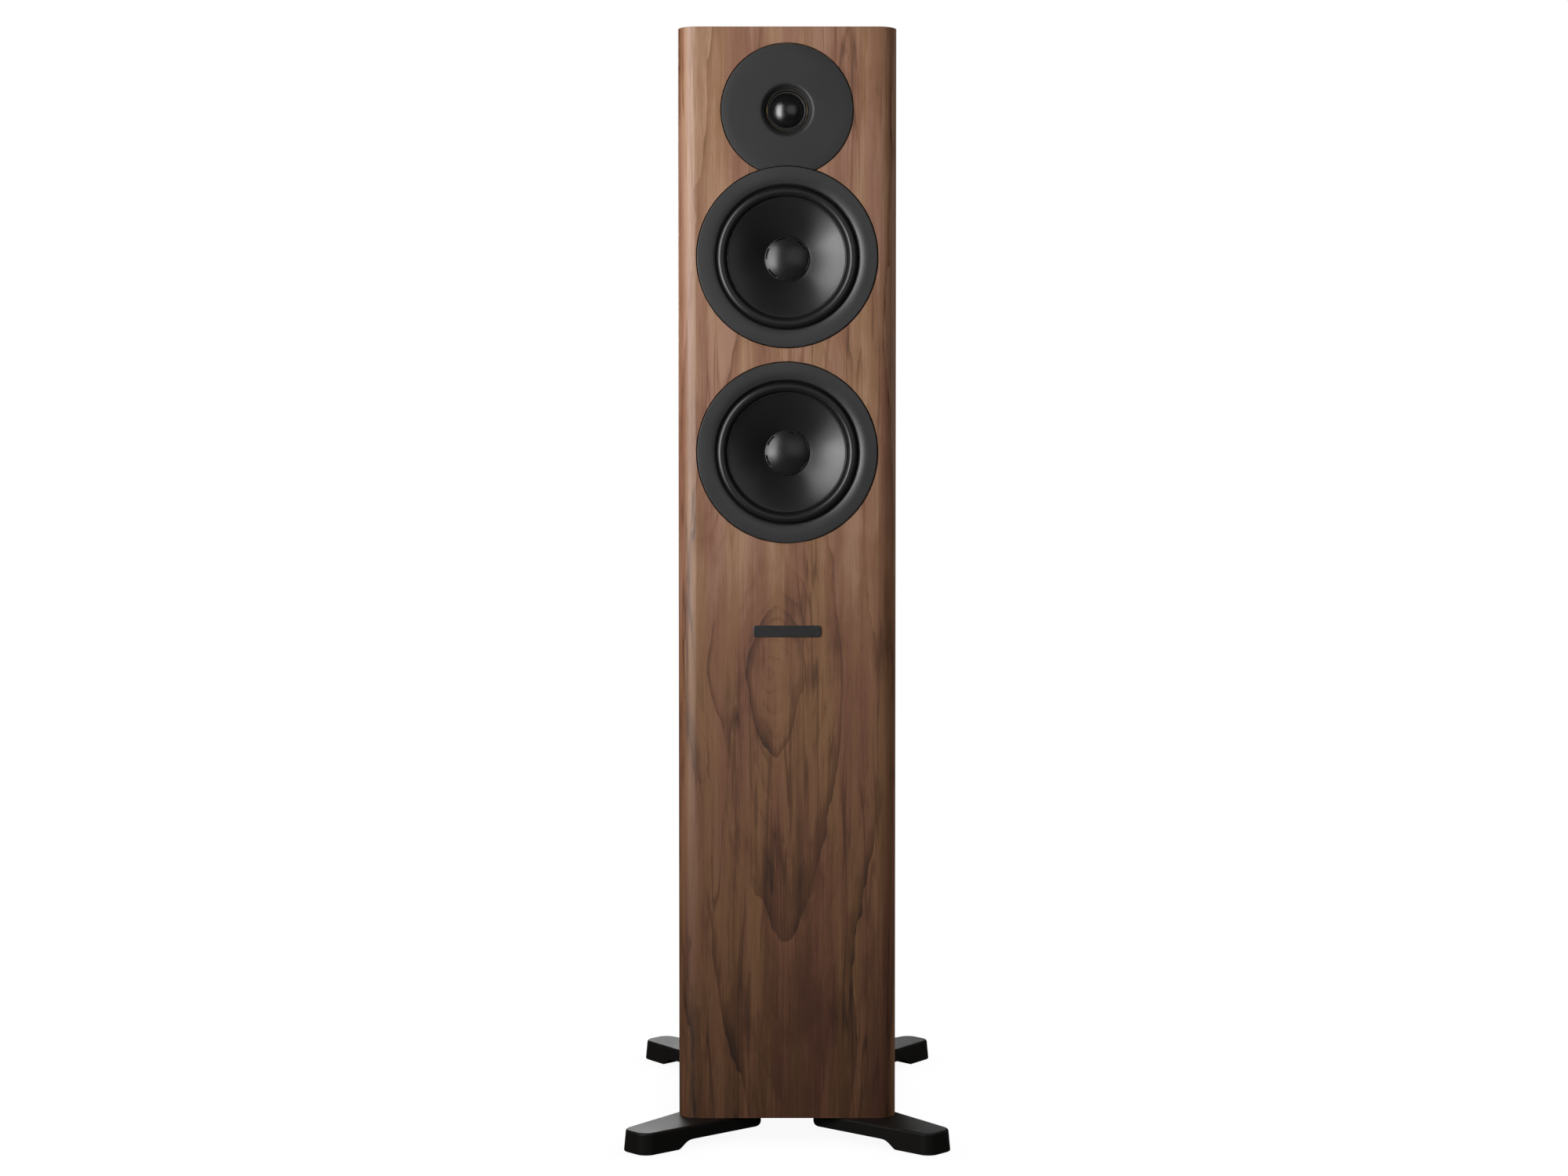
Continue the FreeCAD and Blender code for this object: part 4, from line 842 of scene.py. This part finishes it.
def fibre_pad(name, low, high):
    """A puffed pad of fibre: a box with soft edges, drawn in by stitches into quilts one above another."""
    margin = 1.5 * MM
    face_size = 6 * MM
    fewest_faces = 4
    quilts = 3
    corner_power = 6
    corner_depth = 0.10
    stitch_power = 0.4
    thickness_at_stitch = 0.55
    tuft_size = 14 * MM
    small_tuft_size = 5 * MM
    tuft_depth = 2.2 * MM
    centre = (low + high) / 2
    half = (high - low) / 2 - margin
    counts = [max(fewest_faces, round(2 * size / face_size)) for size in half]
    work = bmesh.new()
    bmesh.ops.create_cube(work, size=2.0)
    for axis in range(3):
        for number in range(1, counts[axis]):
            place = Vector((0, 0, 0))
            place[axis] = -1 + 2 * number / counts[axis]
            normal = Vector((0, 0, 0))
            normal[axis] = 1
            bmesh.ops.bisect_plane(work, geom=work.verts[:] + work.edges[:] + work.faces[:],
                                   plane_co=place, plane_no=normal)
    back = high[1] - margin
    for vertex in work.verts:
        share = np.array(vertex.co)
        crowded = np.abs(share) ** corner_power
        rounding = 1 - corner_depth * (crowded.sum() - crowded.max())
        stitch = abs(math.sin(quilts * math.pi * (share[2] + 1) / 2)) ** stitch_power
        place = centre + half * share * rounding
        thinning = thickness_at_stitch + (1 - thickness_at_stitch) * stitch
        place[1] = back - (back - place[1]) * thinning
        ruffle = noise.noise(Vector(place) / tuft_size)
        ruffle += 0.5 * noise.noise(Vector(place) / small_tuft_size)
        place -= half / np.linalg.norm(half) * share * abs(ruffle) * tuft_depth
        vertex.co = place
    mesh = bpy.data.meshes.new(name)
    work.to_mesh(mesh)
    work.free()
    mesh.shade_smooth()
    piece = bpy.data.objects.new(name, mesh)
    bpy.context.scene.collection.objects.link(piece)
    return piece


for number, (low, high) in enumerate(islands_of("acoustic_wadding")):
    stand_for(fibre_pad("fibre_pad_" + str(number + 1), low, high), "acoustic_wadding", "cabinet")


# ---------------------------------------------------------------- stage, lights and camera


def floor_material():
    """Pale floor: white to the camera, with a soft contact shade, and a dull bounce for everything else."""
    shade_reach = 0.04
    darkest_shade = 0.93
    bounce = (0.10, 0.10, 0.10)
    material = bpy.data.materials.new("pale_floor")
    material.use_nodes = True
    tree = material.node_tree
    tree.nodes.clear()
    path = tree.nodes.new("ShaderNodeLightPath")
    shade = tree.nodes.new("ShaderNodeAmbientOcclusion")
    shade.inputs["Distance"].default_value = shade_reach
    shade.samples = 8
    soften = tree.nodes.new("ShaderNodeMapRange")
    soften.inputs["To Min"].default_value = darkest_shade
    tree.links.new(shade.outputs["AO"], soften.inputs["Value"])
    white = tree.nodes.new("ShaderNodeEmission")
    tree.links.new(soften.outputs[0], white.inputs["Strength"])
    dull = tree.nodes.new("ShaderNodeBsdfDiffuse")
    dull.inputs["Color"].default_value = opaque(bounce)
    mix = tree.nodes.new("ShaderNodeMixShader")
    tree.links.new(path.outputs["Is Camera Ray"], mix.inputs[0])
    tree.links.new(dull.outputs[0], mix.inputs[1])
    tree.links.new(white.outputs[0], mix.inputs[2])
    output = tree.nodes.new("ShaderNodeOutputMaterial")
    tree.links.new(mix.outputs[0], output.inputs["Surface"])
    return material


def make_floor():
    """A wide square floor at height zero."""
    size = 12.0
    corners = [(-size, -size, 0), (size, -size, 0), (size, size, 0), (-size, size, 0)]
    floor = mesh_object("floor", corners, [(0, 1, 2, 3)])
    dress(floor, floor_material())


def make_world():
    """White behind the object, dim grey for light and reflections."""
    seen_strength = 1.0
    unseen_strength = 0.04
    white = (1.0, 1.0, 1.0)
    world = bpy.data.worlds.new("studio")
    bpy.context.scene.world = world
    world.use_nodes = True
    tree = world.node_tree
    tree.nodes.clear()
    path = tree.nodes.new("ShaderNodeLightPath")
    strength = tree.nodes.new("ShaderNodeMapRange")
    strength.inputs["To Min"].default_value = unseen_strength
    strength.inputs["To Max"].default_value = seen_strength
    tree.links.new(path.outputs["Is Camera Ray"], strength.inputs["Value"])
    background = tree.nodes.new("ShaderNodeBackground")
    background.inputs["Color"].default_value = opaque(white)
    tree.links.new(strength.outputs[0], background.inputs["Strength"])
    output = tree.nodes.new("ShaderNodeOutputWorld")
    tree.links.new(background.outputs[0], output.inputs["Surface"])


def area_light(name, place, target, width, height, power, spread=120, glossy=True):
    """Soft rectangular light that points at a target; power in watts, spread in degrees.

    A light that isn't glossy leaves no mirror image on the object.
    """
    data = bpy.data.lights.new(name, "AREA")
    data.shape = "RECTANGLE"
    data.spread = math.radians(spread)
    data.size = width
    data.size_y = height
    data.energy = power
    light = bpy.data.objects.new(name, data)
    bpy.context.scene.collection.objects.link(light)
    light.location = place
    light.rotation_euler = (Vector(target) - Vector(place)).to_track_quat("-Z", "Y").to_euler()
    light.visible_camera = False
    light.visible_glossy = glossy


def make_lights():
    """Key light from the left, a weak fill from the right, and light on the top, the back and the sides."""
    key_side, key_front, key_spread = -0.68, front_y - 0.66, 110
    area_light("key", (key_side, key_front, 0.94), (0, front_y, 0.92),
               width=0.5, height=1.05, power=4.7, spread=key_spread)
    area_light("key foot", (key_side, key_front, 0.42), (0, front_y, 0.6),
               width=0.5, height=0.5, power=0.6, spread=key_spread)
    area_light("fill", (0.7, front_y - 1.6, 1.1), (0, front_y, 0.8), width=1.7, height=1.5, power=2.1)
    area_light("overhead", (0, 0.3, 2.4), (0, 0.1, 0), width=0.9, height=0.9, power=8)
    area_light("rear", (-0.5, 2.4, 1.3), (0, back_y, 0.6), width=1.2, height=1.2, power=11)
    # a mirror image of the side lamps would whiten the cabinet's front edges
    area_light("right side", (1.8, 0.5, 0.9), (half_width, 0, 0.55),
               width=1.2, height=1.3, power=5, glossy=False)
    area_light("left side", (-1.8, 0.7, 0.9), (-half_width, 0.05, 0.55),
               width=1.2, height=1.3, power=3, glossy=False)


def make_camera():
    """Front view from a little above the middle, looking slightly down."""
    data = bpy.data.cameras.new("camera")
    data.sensor_width = 36.0
    data.lens = 60.42
    data.shift_x = -0.002
    data.shift_y = -0.02
    data.clip_end = 100
    camera = bpy.data.objects.new("camera", data)
    bpy.context.scene.collection.objects.link(camera)
    distance = 2.166
    height = 0.5398
    tilt = math.radians(1.95)
    camera.location = (0, front_y - distance, cabinet_bottom + height)
    camera.rotation_euler = (math.pi / 2 - tilt, 0, 0)
    bpy.context.scene.camera = camera


make_floor()
make_world()
make_lights()
make_camera()
bpy.context.scene.view_settings.view_transform = "Standard"
